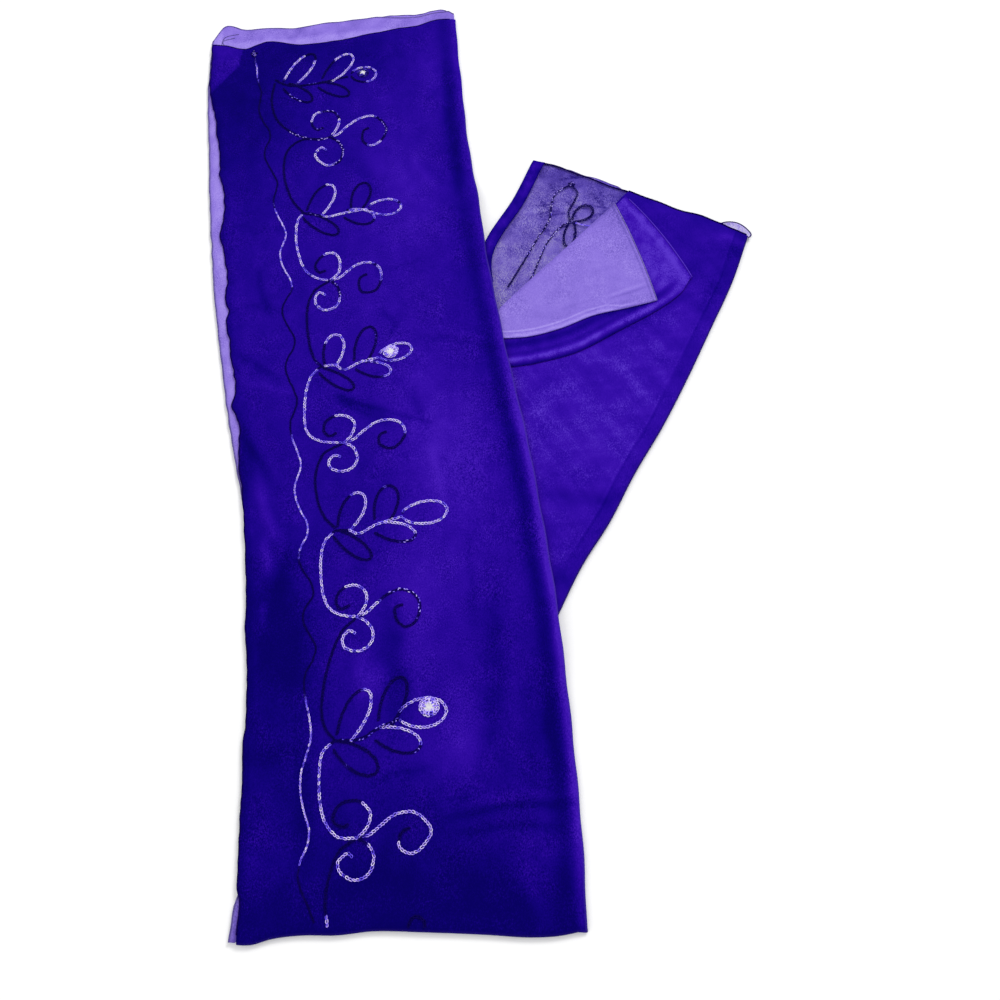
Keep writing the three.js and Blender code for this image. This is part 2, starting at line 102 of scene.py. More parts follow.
# Soft creases: from, to, half width, height (a trough is below nought), and how much lighter or darker
# the cloth is painted along them: partly its sheer layers parting or pressing together, partly painted shade in troughs
# and painted light on ridges.
FOLDS_FRONT = [
    (-60, 937, -48, 746, 8, -0.8, -0.5), (-42, 712, -18, 579, 9, -1, -0.2), (-12, 560, 14, 405, 8, -1, -0.15),
    (18, 399, 32, 289, 7, -0.8, -0.1), (34, 279, 43, 163, 8, -1.2, -0.1), (44, 190, 52, 117, 9, -0.7, -0.2),
    (-95, 265, -85, 171, 11, -1.6, -0.75), (-122, 233, -107, 189, 11, 1, 0.5), (-72, 340, -50, 224, 36, 1, 0.42),
    (-39, 197, -18, 133, 14, 0.6, 0.45), (-3, 280, -7, 150, 10, -0.6, -0.42), (12, 240, 16, 118, 7, 0.6, 0.15), (-139, 732, -77, 463, 60, 0.3, 0.15),
    (-229, 402, -203, 330, 6, 1.2, 0.6), (-248, 474, -232, 378, 7, -0.5, -0.45), (-206, 279, -199, 233, 6, 0.5, 0.4),
    (-213, 289, -171, 189, 20, -1.4, -0.6), (-194, 318, -175, 242, 12, -0.6, -0.45),
    (-151, 491, -101, 454, 6, -0.7, -0.4), (-75, 555, -5, 540, 4, -0.5, -0.25), (-70, 563, -10, 549, 4, 0.4, 0.15),
    (-260, 510, -194, 491, 5, 0.6, 0.3), (-273, 692, -220, 688, 5, -0.3, -0.15), (-264, 597, -213, 593, 4, -0.3, -0.15),
    (-45, 98, 64, 113, 3, 0.4, 0.2), (-41, 91, 64, 104, 3.4, -0.5, -0.45), (-32, 79, 49, 85, 3, -0.4, -0.35),
    (-40, 71, 49, 73, 6, 0.4, 0.15), (-28, 50, 8, 5, 20, -1.2, -0.5), (20, 69, 35, 9, 9, 0.8, 0.35),
    (-120, 42, -64, 35, 25, -0.6, -0.35), (-168, 154, -155, 50, 8, -0.8, -0.45), (-209, 142, -175, 136, 8, -0.7, -0.4),
    (-131, 795, -58, 679, 16, 0.5, 0.2), (-170, 802, -117, 732, 7, -0.4, -0.15), (-154, 318, -142, 279, 20, 0, 0.1),
    (-160, 490, -133, 472, 3, -0.5, -0.5), (-119, 590, -103, 574, 3, -0.4, -0.45), (-103, 574, -112, 556, 3, -0.3, -0.35),
    (-88, 490, -70, 455, 5, -0.5, -0.4), (-262, 539, -221, 514, 4, -0.6, -0.45), (-247, 452, -213, 394, 5, -0.7, -0.55),
    (-158, 492, -112, 471, 2.4, -0.4, -0.55), (-112, 471, -70, 457, 2.4, -0.35, -0.45), (-95, 797, -66, 739, 7, 0.4, 0.3), (-120, 640, -84, 652, 3, -0.3, -0.25),
    (-250, 640, -232, 586, 4, -0.5, -0.4), (-66, 430, -52, 372, 5, 0.4, 0.3), (-30, 330, -22, 262, 4, -0.4, -0.25),
    (-100, 120, -60, 132, 4, -0.4, -0.3), (-5, 640, 14, 602, 4, 0.3, 0.25),
    (-216, 335, -209, 306, 4.5, 0.7, 0.65), (-211, 276, -207, 247, 4.5, 0.6, 0.6), (-196, 318, -206, 226, 6, -0.5, -0.4)]
FOLDS_BACK = [
    (37, 386, 104, 373, 7, -0.8, -0.6), (91, 378, 108, 375, 9, -0.4, -0.45), (47, 308, 59, 306, 8, -0.4, -0.45),
    (229, 647, 200, 566, 9, -0.4, -0.35), (200, 566, 168, 497, 8, -0.3, -0.3), (238, 679, 254, 651, 7, -0.2, -0.4),
    (140, 560, 146, 500, 9, -0.3, -0.12), (3, 526, 74, 540, 4, -0.2, -0.5), (74, 540, 141, 574, 4, -0.2, -0.5),
    (141, 574, 194, 610, 4, -0.2, -0.5), (58, 463, 95, 441, 25, 0.5, 0.1), (105, 409, 133, 441, 8, 0.5, 0.15),
    (69, 357, 91, 337, 9, 0.4, 0.1), (210, 690, 246, 679, 8, 0.3, 0.25)]


# ------------------------------------------------------------------ helpers for the form
def clamp(t):
    return np.clip(t, 0.0, 1.0)


def smooth(t):
    t = clamp(np.asarray(t, float))
    return t * t * (3 - 2 * t)


def mix(a, b, t):
    return a + (b - a) * t


def look(tab, key, column, k):
    k = np.asarray(k, float)
    xs, ys = tab[key], tab[column]
    n = len(xs)
    i = np.clip(np.searchsorted(xs, k, side="left") - 1, 0, n - 2)
    s = np.diff(ys) / np.diff(xs)
    d = xs[i + 1] - xs[i]
    t = clamp((k - xs[i]) / d)
    before = np.where(i > 0, (s[np.maximum(i - 1, 0)] + s[i]) / 2, s[i])
    after = np.where(i < n - 2, (s[np.minimum(i + 1, n - 2)] + s[i]) / 2, s[i])
    t2, t3 = t * t, t * t * t
    return ((2 * t3 - 3 * t2 + 1) * ys[i] + (t3 - 2 * t2 + t) * d * before
            + (-2 * t3 + 3 * t2) * ys[i + 1] + (t3 - t2) * d * after)


def measured(tab):
    run = np.concatenate([[0], np.cumsum(np.hypot(np.diff(tab["x"]), np.diff(tab["y"])))])
    return {**tab, "along": run / run[-1]}, float(run[-1])


front, FRONT_LENGTH = measured(FRONT)
back, BACK_LENGTH = measured(BACK)


def leg_width(tab, v):
    return look(tab, "along", "width", v) * STRIP


def on_leg(tab, u, v, past=0.0):
    lean = np.radians(look(tab, "along", "lean", v))
    side = (2 * u - 1) * leg_width(tab, v) / 2
    return (look(tab, "along", "x", v) + side * np.cos(lean) - past * np.sin(lean),
            look(tab, "along", "y", v) + side * np.sin(lean) + past * np.cos(lean))


def leg_place(tab, length, x, y):
    """Shares across and along a leg of a point of the plan."""
    x, y = np.asarray(x, float), np.asarray(y, float)
    v = clamp((y - tab["y"][0]) / (tab["y"][-1] - tab["y"][0]))
    for _ in range(8):
        lean = np.radians(look(tab, "along", "lean", v))
        cx, cy = look(tab, "along", "x", v), look(tab, "along", "y", v)
        v = np.clip(v + 0.9 * (-(x - cx) * np.sin(lean) + (y - cy) * np.cos(lean)) / length, -0.03, 1.06)
    lean = np.radians(look(tab, "along", "lean", v))
    cx, cy = look(tab, "along", "x", v), look(tab, "along", "y", v)
    return 0.5 + ((x - cx) * np.cos(lean) + (y - cy) * np.sin(lean)) / leg_width(tab, v), v


def front_floor(across, v):
    w = leg_width(front, v)
    u = np.minimum(across, 1 - CORE_STOP / w)
    under = look(front, "along", "under", v)
    rest = clamp(look(front, "along", "rest", v))
    rise = smooth((u - (under - 0.2)) / 0.2)
    fall = mix(smooth((1 - CORE_STOP / w - u) / 0.18), 1, rest)
    foot = smooth((v - 1 / FRONT_ROWS) / 0.06)
    y = on_leg(front, 1.0, v)[1]
    corner = smooth((y - 470) / 40) * smooth((650 - y) / 40) * smooth((u - 0.72) / 0.18)
    return BED * rise * fall * foot + (TURNED_TOP - BACK_TOP) * corner


def folds(rows, x, y):
    """Height and tone of the soft creases at points of the plan; the tone is partly painted shade and painted light."""
    high, tone = np.zeros_like(x), np.zeros_like(x)
    sx, sy = ripple(x, y, 101, 3.5, 75), ripple(x, y, 102, 8.0, 95)
    for x0, y0, x1, y1, wide, h, t in rows:
        loose = min(1.0, wide / 14)  # a fine crease runs straighter than a wide one
        wx, wy = x + sx * loose, y + sy * loose
        dx, dy = x1 - x0, y1 - y0
        long = math.hypot(dx, dy)
        k = ((wx - x0) * dx + (wy - y0) * dy) / (long * long)
        off = ((wx - x0) * dy - (wy - y0) * dx) / long / wide
        fade = 0.18 + min(0.5, wide / long)  # it dies away towards its ends
        bell = np.exp(-off * off) * smooth((k + fade) / (2.2 * fade)) * smooth((1 + fade - k) / (2.2 * fade))
        high += h * bell
        tone += t * bell
    return high, tone


def ripple(x, y, seed, amount, long=60.0):
    """A small uneven swell, different for each seed."""
    rng = np.random.default_rng(seed)
    out = np.zeros_like(np.asarray(x, float))
    for _ in range(9):
        a, p, q, m = rng.uniform(0, 2 * math.pi, 4)
        f = 2 * math.pi / (long * rng.uniform(0.35, 1.4))
        bend = 1.3 * np.sin(f * 0.6 * (x * math.cos(m) + y * math.sin(m)) + q)
        out += np.sin(f * (x * math.cos(a) * 1.15 + y * math.sin(a) * 0.9) + p + bend)
    return amount * out / 3.4


def front_relief(x, y, u, v):
    high, _ = folds(FOLDS_FRONT, x, y)
    w = leg_width(front, v)
    near = smooth((1 - u) * w / 16)  # the folded edge keeps its height
    foot = smooth(v * FRONT_LENGTH / 22)
    return (np.clip(high * 0.8, -1.6, 1.5) + ripple(x, y, 3, 0.22, 70)) * near * foot


def front_droop(u, v, past):
    """Past the hidden layers the cloth comes down to the surface."""
    w = leg_width(front, v)
    left = look(front, "along", "tuck", v) * 0.4 + 4 + look(LEFT_IN, "y", "inset", on_leg(front, 0.0, v)[1])
    end = (v - 1) * FRONT_LENGTH + past + 7
    return 1.2 * smooth((left + 3 - u * w) / 10) + 2.3 * smooth(end / 26)


# Where the front leg's cloth is painted lighter or darker over a wide stretch, as painted light and shade:
# middle, half width, half height, lean from upright, tone.
FRONT_PAINTED_LIGHT = [
    (-100, 745, 44, 150, 6, 0.36), (-74, 930, 30, 60, 6, 0.3), (-52, 425, 46, 105, 12, 0.72), (-82, 245, 26, 80, 4, 0.32),
    (-48, 142, 22, 28, 0, 0.36), (-165, 560, 50, 130, 10, 0.16), (-245, 600, 30, 90, 8, 0.1), (-208, 200, 50, 120, 6, -0.56),
    (-78, 0, 400, 46, 0, -0.74), (-70, 50, 100, 50, 0, -0.36), (-292, 880, 66, 100, 8, -0.72), (-196, 955, 84, 38, 0, -0.5),
    (28, 155, 26, 50, 4, -0.34), (10, 300, 18, 60, 4, 0.1), (-110, 100, 110, 34, 0, -0.2), (-268, 745, 26, 70, 8, -0.12)]


def front_tone(x, y, u, v):
    _, tone = folds(FOLDS_FRONT, x, y)
    rim = (1 - u) * leg_width(front, v)
    soft = -0.08 + 0 * x
    for mx, my, wide, tall, lean, level in FRONT_PAINTED_LIGHT:
        a = math.radians(lean)
        p = ((x - mx) * math.cos(a) + (y - my) * math.sin(a)) / wide
        q = ((y - my) * math.cos(a) - (x - mx) * math.sin(a)) / tall
        soft = soft + level * np.exp(-np.abs(p) ** 2.4 - np.abs(q) ** 2.4)
    tone = soft + 0.95 * tone + ripple(x, y, 111, 0.07, 60) + ripple(x, y, 112, 0.05, 20)
    low = smooth((640 - y) / 200) * (1 - 0.5 * smooth((110 - y) / 80))
    lit = mix(0.3, 1.1, low) * np.exp(-((rim - 3.0) / 4.6) ** 2)  # the folded edge catches the light
    # a band of painted shade runs about 16 mm in from the folded edge
    return np.clip(tone + lit - mix(0.32, 0.55, low) * np.exp(-((rim - 16) / 6.5) ** 2), -1, 1)


def foot_wave(u, v):
    """The bottom fold isn't quite straight."""
    return look(BOTTOM_END, "across", "past", clamp(u)) * (1 - smooth(v * FRONT_LENGTH / 45))


# ------------------------------------------------------------------ meshes
def build(name, points, faces, material, attrs=None, smooth_shade=True, flat_from=None):
    mesh = bpy.data.meshes.new(name)
    mesh.from_pydata((np.asarray(points) + MOVE).__truediv__(1000.0).tolist(), [], faces.tolist())
    mesh.update()
    for key, values in (attrs or {}).items():
        layer = mesh.attributes.new(key, "FLOAT", "POINT")
        layer.data.foreach_set("value", np.asarray(values, np.float32).ravel())
    flags = np.full(len(mesh.polygons), smooth_shade, bool)
    if flat_from is not None:
        flags[flat_from:] = False
    mesh.polygons.foreach_set("use_smooth", flags)
    mesh.materials.append(material)
    obj = bpy.data.objects.new(name, mesh)
    bpy.context.scene.collection.objects.link(obj)
    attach(obj, "root")
    return obj


def normals_of(P):
    du = np.gradient(P, axis=1)
    dv = np.gradient(P, axis=0)
    n = np.cross(du, dv)
    return n / np.maximum(np.linalg.norm(n, axis=2, keepdims=True), 1e-9)


def shell(P, attrs, thick=THIN, start=0):
    """A closed thin cloth from a grid of its outer face. Returns points, faces, attributes, rim start."""
    nv, nu = P.shape[0] - 1, P.shape[1] - 1
    inner = P - normals_of(P) * thick
    inner[..., 2] = np.maximum(inner[..., 2], 0.0)
    idx = np.arange((nv + 1) * (nu + 1)).reshape(nv + 1, nu + 1)
    a, b, c, d = idx[:-1, :-1], idx[:-1, 1:], idx[1:, 1:], idx[1:, :-1]
    top = np.stack([a, b, c, d], -1).reshape(-1, 4)
    off = idx.size
    low = np.stack([a, d, c, b], -1).reshape(-1, 4) + off
    rim = np.concatenate([idx[0, :-1], idx[:-1, -1], idx[-1, :0:-1], idx[:0:-1, 0]])
    nxt = np.roll(rim, -1)
    side = np.stack([rim, rim + off, nxt + off, nxt], -1)
    points = np.concatenate([P.reshape(-1, 3), inner.reshape(-1, 3)])
    faces = np.concatenate([top, low, side]) + start
    both = {k: np.concatenate([np.asarray(v).ravel()] * 2) for k, v in attrs.items()}
    return points, faces, both, len(top) + len(low)


def tube(path, radius, sides=7):
    """A closed round band along a path, with closed ends."""
    path = np.asarray(path, float)
    n = len(path)
    radius = np.broadcast_to(np.asarray(radius, float), (n,)).copy()
    t = np.gradient(path, axis=0)
    t /= np.maximum(np.linalg.norm(t, axis=1, keepdims=True), 1e-9)
    s = np.cross(t, [0, 0, 1.0])
    s /= np.maximum(np.linalg.norm(s, axis=1, keepdims=True), 1e-9)
    up = np.cross(s, t)
    ang = np.linspace(0, 2 * math.pi, sides, endpoint=False)
    ring = (np.cos(ang)[None, :, None] * s[:, None, :] + np.sin(ang)[None, :, None] * up[:, None, :])
    pts = path[:, None, :] + ring * radius[:, None, None]
    pts = np.concatenate([pts.reshape(-1, 3), path[:1], path[-1:]])
    k = np.arange(sides)
    kn = (k + 1) % sides
    faces = []
    for i in range(n - 1):
        faces.append(np.stack([i * sides + k, (i + 1) * sides + k, (i + 1) * sides + kn, i * sides + kn], -1))
    quads = np.concatenate(faces)
    first = np.stack([np.full(sides, n * sides), k, kn], -1)
    last = np.stack([np.full(sides, n * sides + 1), (n - 1) * sides + kn, (n - 1) * sides + k], -1)
    return pts, quads.tolist() + first.tolist() + last.tolist()


class Soup:
    """Many small closed things gathered into one mesh."""

    def __init__(self):
        self.points, self.faces, self.attrs, self.count = [], [], {}, 0

    def add(self, points, faces, **attrs):
        points = np.asarray(points, float).reshape(-1, 3)
        base = self.count
        self.faces += [[i + base for i in f] for f in (faces.tolist() if hasattr(faces, "tolist") else faces)]
        self.points.append(points)
        for key, value in attrs.items():
            self.attrs.setdefault(key, []).append(np.broadcast_to(np.asarray(value, float).ravel(), (len(points),)))
        self.count += len(points)

    def finish(self, name, material):
        mesh = bpy.data.meshes.new(name)
        mesh.from_pydata(((np.concatenate(self.points) + MOVE) / 1000.0).tolist(), [], self.faces)
        mesh.update()
        for key, parts in self.attrs.items():
            layer = mesh.attributes.new(key, "FLOAT", "POINT")
            layer.data.foreach_set("value", np.concatenate(parts).astype(np.float32))
        mesh.polygons.foreach_set("use_smooth", np.ones(len(mesh.polygons), bool))
        mesh.materials.append(material)
        obj = bpy.data.objects.new(name, mesh)
        bpy.context.scene.collection.objects.link(obj)
        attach(obj, "root")
        return obj


# ------------------------------------------------------------------ materials
LIT = 1.13  # how much light falls on the cloth, so that a colour given here is the one seen


def linear(c):
    out = []
    for v in c:
        v = v / 255.0
        out.append((v / 12.92 if v <= 0.04045 else ((v + 0.055) / 1.055) ** 2.4) / LIT)
    return (*out, 1.0)


def nodes_of(name):
    mat = bpy.data.materials.new(name)
    mat.use_nodes = True
    nt = mat.node_tree
    nt.nodes.clear()
    out = nt.nodes.new("ShaderNodeOutputMaterial")
    bsdf = nt.nodes.new("ShaderNodeBsdfPrincipled")
    nt.links.new(bsdf.outputs[0], out.inputs[0])
    return mat, nt, bsdf


def noise(nt, coord, scale, detail=2.0, rough=0.55, stretch=None, turn=0.0):
    if stretch or turn:
        m = nt.nodes.new("ShaderNodeMapping")
        m.inputs["Rotation"].default_value = (0, 0, math.radians(turn))
        m.inputs["Scale"].default_value = stretch or (1, 1, 1)
        nt.links.new(coord, m.inputs["Vector"])
        coord = m.outputs[0]
    n = nt.nodes.new("ShaderNodeTexNoise")
    n.inputs["Scale"].default_value = scale
    n.inputs["Detail"].default_value = detail
    n.inputs["Roughness"].default_value = rough
    nt.links.new(coord, n.inputs["Vector"])
    return n.outputs["Fac"]


def math_node(nt, kind, a, b=None, c=None):
    n = nt.nodes.new("ShaderNodeMath")
    n.operation = kind
    for i, v in enumerate((a, b, c)):
        if v is None:
            continue
        if isinstance(v, (int, float)):
            n.inputs[i].default_value = v
        else:
            nt.links.new(v, n.inputs[i])
    return n.outputs[0]


def threads(nt, coord, pitch, turn):
    """The weave: warp and weft waves averaged into little bumps."""
    m = nt.nodes.new("ShaderNodeMapping")
    m.inputs["Rotation"].default_value = (0, 0, math.radians(turn))
    nt.links.new(coord, m.inputs["Vector"])
    parts = []
    for axis in ("X", "Y"):
        w = nt.nodes.new("ShaderNodeTexWave")
        w.wave_type = "BANDS"
        w.bands_direction = axis
        w.wave_profile = "SIN"
        w.inputs["Scale"].default_value = 2 * math.pi / (20 * pitch)
        w.inputs["Distortion"].default_value = 1.3
        w.inputs["Detail"].default_value = 1.0
        w.inputs["Detail Scale"].default_value = 2.0
        nt.links.new(m.outputs[0], w.inputs["Vector"])
        parts.append(w.outputs["Fac"])
    return math_node(nt, "ADD", math_node(nt, "MULTIPLY", parts[0], 0.5), math_node(nt, "MULTIPLY", parts[1], 0.5))


def ramp(nt, fac, stops):
    r = nt.nodes.new("ShaderNodeValToRGB")
    els = r.color_ramp.elements
    while len(els) < len(stops):
        els.new(0.5)
    for el, (pos, col) in zip(els, stops):
        el.position = pos
        el.color = linear(col)
    nt.links.new(fac, r.inputs[0])
    return r.outputs[0]


def cloth(name, stops, turn, mottle=0.16, grain=0.22, pitch=0.0009, rough=0.9, sheen=0.05, tint=(90, 50, 255),
          sheen_rough=0.5, specular=0.008, bump=0.35, alpha=1.0, edge=None, crinkle=0.5):
    """Cloth coloured from its tone attribute, which holds how its layers lie as well as painted light and shade, with
    mottle, weave and crepe grain.
    """
    mat, nt, bsdf = nodes_of(name)
    tc = nt.nodes.new("ShaderNodeTexCoord")
    coord = tc.outputs["Object"]
    att = nt.nodes.new("ShaderNodeAttribute")
    att.attribute_name = "tone"
    big = noise(nt, coord, 16, 3, 0.55, (1.4, 0.7, 1), turn)
    mid = noise(nt, coord, 75, 3, 0.6)
    fine = noise(nt, coord, 760, 2, 0.75, (1.3, 0.8, 1), turn)
    weave = threads(nt, coord, pitch, turn)
    fac = math_node(nt, "MULTIPLY_ADD", att.outputs["Fac"], 0.5, 0.5)
    # the grain shows in patches, where the sheer layers part
    patch = math_node(nt, "MULTIPLY_ADD", noise(nt, coord, 34, 2, 0.5), 2.6, -0.7)
    patch = math_node(nt, "MAXIMUM", patch, 0.3)
    for source, amount, patchy in ((big, mottle * 1.2, False), (mid, mottle * 0.8, False), (fine, grain * 4.5, True),
                                   (weave, grain * 0.9, True)):
        part = math_node(nt, "MULTIPLY", math_node(nt, "SUBTRACT", source, 0.5), amount)
        if patchy:
            part = math_node(nt, "MULTIPLY", part, patch)
        fac = math_node(nt, "ADD", fac, part)
    colour = ramp(nt, fac, stops)
    if edge is not None:
        e = nt.nodes.new("ShaderNodeAttribute")
        e.attribute_name = "edge"
        mx = nt.nodes.new("ShaderNodeMix")
        mx.data_type = "RGBA"
        nt.links.new(e.outputs["Fac"], mx.inputs[0])
        nt.links.new(colour, mx.inputs[6])
        mx.inputs[7].default_value = linear(edge)
        colour = mx.outputs[2]
    nt.links.new(colour, bsdf.inputs["Base Color"])
    bsdf.inputs["Roughness"].default_value = rough
    bsdf.inputs["Specular IOR Level"].default_value = specular
    bsdf.inputs["Sheen Weight"].default_value = sheen
    bsdf.inputs["Sheen Roughness"].default_value = sheen_rough
    bsdf.inputs["Sheen Tint"].default_value = linear(tint)
    bsdf.inputs["Alpha"].default_value = alpha
    h = math_node(nt, "MULTIPLY_ADD", fine, crinkle, math_node(nt, "MULTIPLY", weave, 0.5))
    b = nt.nodes.new("ShaderNodeBump")
    b.inputs["Strength"].default_value = bump
    b.inputs["Distance"].default_value = 0.0005
    nt.links.new(h, b.inputs["Height"])
    b2 = nt.nodes.new("ShaderNodeBump")
    b2.inputs["Strength"].default_value = 0.35
    b2.inputs["Distance"].default_value = 0.0016
    nt.links.new(mid, b2.inputs["Height"])
    nt.links.new(b.outputs[0], b2.inputs["Normal"])
    nt.links.new(b2.outputs[0], bsdf.inputs["Normal"])
    return mat


VIOLET = [(0.0, (8, 1, 96)), (0.25, (17, 2, 121)), (0.5, (32, 5, 142)), (0.72, (47, 10, 160)), (0.86, (60, 18, 174)),
          (1.0, (88, 52, 200))]
VIOLET_FRONT = [*VIOLET[:4], (0.86, (57, 17, 170)), (1.0, (70, 28, 184))]
SHEER = [(0.0, (14, 6, 70)), (0.5, (44, 30, 130)), (1.0, (90, 74, 190))]
LAVENDER = [(0.0, (92, 74, 172)), (0.5, (138, 114, 218)), (1.0, (172, 152, 240))]
INNER = [(0.0, (12, 3, 84)), (0.45, (34, 10, 120)), (0.55, (110, 90, 190)), (1.0, (140, 120, 215))]

m_front = cloth("georgette_front", VIOLET_FRONT, -8, mottle=0.11, grain=0.48, edge=(78, 60, 150))
# the back leg's edge colour is painted shade at its fold
m_back = cloth("georgette_back", VIOLET, 25, mottle=0.13, grain=0.24, edge=(36, 20, 104))
m_sheer = cloth("georgette_single", SHEER, 25, mottle=0.6, grain=0.4, alpha=0.16, crinkle=0.8)
m_lining = cloth("crepe_lining", LAVENDER, -8, mottle=0.16, grain=0.4, sheen=0.08, tint=(190, 170, 255),
                 specular=0.06, edge=(150, 140, 200))
m_lining_back = cloth("crepe_lining_below", [(0.0, (44, 26, 140)), (0.35, (112, 90, 206)), (0.6, (160, 138, 242)),
                                             (1.0, (220, 212, 246))], 25, mottle=0.5, grain=0.5, sheen=0.08,
                      tint=(190, 170, 255), specular=0.06)
m_inner = cloth("folded_layers", INNER, -8, mottle=0.1, grain=0.12)
m_hem = cloth("rolled_hem", [(0.0, (6, 1, 44)), (0.5, (14, 4, 72)), (1.0, (34, 14, 116))], 0, mottle=0.3, grain=0.5,
              pitch=0.0012, bump=0.6)
m_hem_pale = cloth("rolled_hem_pale", [(0.0, (70, 60, 120)), (0.5, (112, 98, 170)), (1.0, (160, 146, 215))], 0,
                   mottle=0.3, grain=0.5, pitch=0.0012, bump=0.6, specular=0.05)


def thread_material():
    mat, nt, bsdf = nodes_of("variegated_thread")
    tc = nt.nodes.new("ShaderNodeTexCoord")
    att = nt.nodes.new("ShaderNodeAttribute")
    att.attribute_name = "tone"
    n = noise(nt, tc.outputs["Object"], 900, 2, 0.6)
    fac = math_node(nt, "ADD", att.outputs["Fac"], math_node(nt, "MULTIPLY", math_node(nt, "SUBTRACT", n, 0.5), 0.3))
    colour = ramp(nt, fac, [(0.0, (8, 0, 80)), (0.25, (22, 5, 114)), (0.5, (112, 86, 262)), (0.75, (200, 174, 269)),
                           (1.0, (242, 232, 269))])
    nt.links.new(colour, bsdf.inputs["Base Color"])
    bsdf.inputs["Roughness"].default_value = 0.6
    bsdf.inputs["Specular IOR Level"].default_value = 0.03
    b = nt.nodes.new("ShaderNodeBump")
    b.inputs["Strength"].default_value = 0.4
    b.inputs["Distance"].default_value = 0.0002
    nt.links.new(n, b.inputs["Height"])
    nt.links.new(b.outputs[0], bsdf.inputs["Normal"])
    return mat


def mirror_material():
    mat, nt, bsdf = nodes_of("mirror_glass")
    tc = nt.nodes.new("ShaderNodeTexCoord")
    n = noise(nt, tc.outputs["Object"], 420, 2, 0.5)
    # the glass's pale colour is painted reflection of the white surroundings, on top of its partly metallic real
    # reflection
    colour = ramp(nt, n, [(0.0, (176, 172, 190)), (0.5, (232, 230, 240)), (1.0, (250, 250, 255))])
    nt.links.new(colour, bsdf.inputs["Base Color"])
    bsdf.inputs["Metallic"].default_value = 0.45
    bsdf.inputs["Roughness"].default_value = 0.35
    b = nt.nodes.new("ShaderNodeBump")
    b.inputs["Strength"].default_value = 0.3
    b.inputs["Distance"].default_value = 0.0004
    nt.links.new(n, b.inputs["Height"])
    nt.links.new(b.outputs[0], bsdf.inputs["Normal"])
    return mat


m_thread = thread_material()
m_mirror = mirror_material()

# ------------------------------------------------------------------ the front leg
def front_surface(u, v, past, level):
    """Plan and height of a cloth of the front leg. level: height over the floor of its upper face."""
    x, y = on_leg(front, u, v, past + foot_wave(u, v))
    z = level + front_floor(u, v) + front_relief(x, y, u, v) - front_droop(u, v, past)
    return x, y, np.maximum(z, THIN + 0.1)


def end_past(tab, column, u, v, length, reach=34.0):
    return look(tab, "across", column, u) * smooth((v - (1 - reach / length)) / (reach / length))


OVER = CORE_FRONT + GAP + STEP + WALL
LINE = CORE_FRONT + GAP + WALL
half_turn = np.radians([22, 44, 66, 88, 110, 132, 154, 176])


def overlay_front():
    rows = np.linspace(FOLD_REACH / FRONT_LENGTH, 1, 372)
    turned = half_turn[::-1]
    v0 = np.concatenate([np.full(len(turned), rows[0]), rows])
    fv = np.concatenate([turned, np.zeros(len(rows))])
    cols = np.concatenate([np.linspace(0, 0.04, 4)[:-1], np.linspace(0.04, 1, 108)])
    cu = np.concatenate([cols, np.ones(len(half_turn))])
    fu = np.concatenate([np.zeros(len(cols)), half_turn])
    V, C = np.meshgrid(v0, cu, indexing="ij")
    FV, FU = np.meshgrid(fv, fu, indexing="ij")
    w = leg_width(front, V)
    left_y = on_leg(front, 0.0, V)[1]
    tuck = look(LEFT_WAVE, "y", "short", left_y)
    tuck = tuck + ripple(left_y, left_y, 8, mix(0.3, 0.8, smooth((left_y - 360) / 40)), 44) + look(LEFT_IN, "y", "inset", left_y)
    u0 = mix(tuck / w, 1 - FOLD_REACH / w, C)
    past = end_past(FRONT_END, "overlay", u0, V, FRONT_LENGTH)
    past += ripple(u0 * w, 0 * w, 5, 0.7, 50) * smooth((V - 0.97) / 0.03)
    x, y, z = front_surface(u0, V, past, OVER)
    rest = np.where(FU > 0, front_floor(1.0, V), 0.0) * (FV == 0)
    drop = (1 + np.cos(FU)) / 2 * (1 + np.cos(FV)) / 2
    z = np.where((FU > 0) | (FV > 0), rest + THIN + (np.maximum(z - rest, 1.0) - THIN) * drop, z)
    lean = np.radians(look(front, "along", "lean", V))
    wob = 1 + 0.06 * np.sin(y / 23.0) + 0.05 * np.sin(y / 9.0 + 1)
    ru, rv = FOLD_REACH * np.sin(FU) * np.where(FU > 0, wob, 1), -FOLD_REACH * np.sin(FV)
    x = x + ru * np.cos(lean) - rv * np.sin(lean)
    y = y + ru * np.sin(lean) + rv * np.cos(lean)
    P = np.stack([x, y, z], -1)
    uu = u0 + FOLD_REACH * np.sin(FU) / w
    tone = front_tone(x, y, uu, V)
    # painted shade on the bottom fold where it turns under
    tone = np.where(FV > 0, tone - 0.2 * np.sin(FV), tone)
    tone = tone - 0.3 * np.exp(-((u0 * w - tuck - 2.5) / 2.2) ** 2)  # the doubled edge by its hem
    # the bare corner at the top left, seen through one ply
    bare = smooth((1.5 - (x + 322) / 26 - (948 - y) / 38) / 0.12) * smooth((V - 0.9) / 0.01)
    tone = tone + 0.75 * bare * (u0 * w < 34)
    edge = 0.75 * smooth((FU - 0.9) / 0.5) * smooth((900 - y) / 60)
    edge = np.maximum(edge, 0.22 * smooth((FV - 0.9) / 0.5))
    pts, faces, attrs, rim = shell(P, {"tone": np.clip(tone, -1, 1), "edge": edge})
    obj = build("overlay_front_cloth", pts, faces, m_front, attrs, True, rim)
    hems = Soup()
    base = len(turned)
    for line, r in ((P[base:, 0], 0.62), (P[-1, :len(cols)], 0.62)):
        path = line + np.array([0, 0, 0.12 - THIN / 2])
        rad = r * (1 + 0.06 * np.sin(np.arange(len(path)) * 1.7))
        p, f = tube(path, rad)
        hems.add(p, f, tone=0.1 * np.sin(np.arange(len(p)) * 0.9))
    return obj, hems.finish("overlay_front_hem", m_hem)


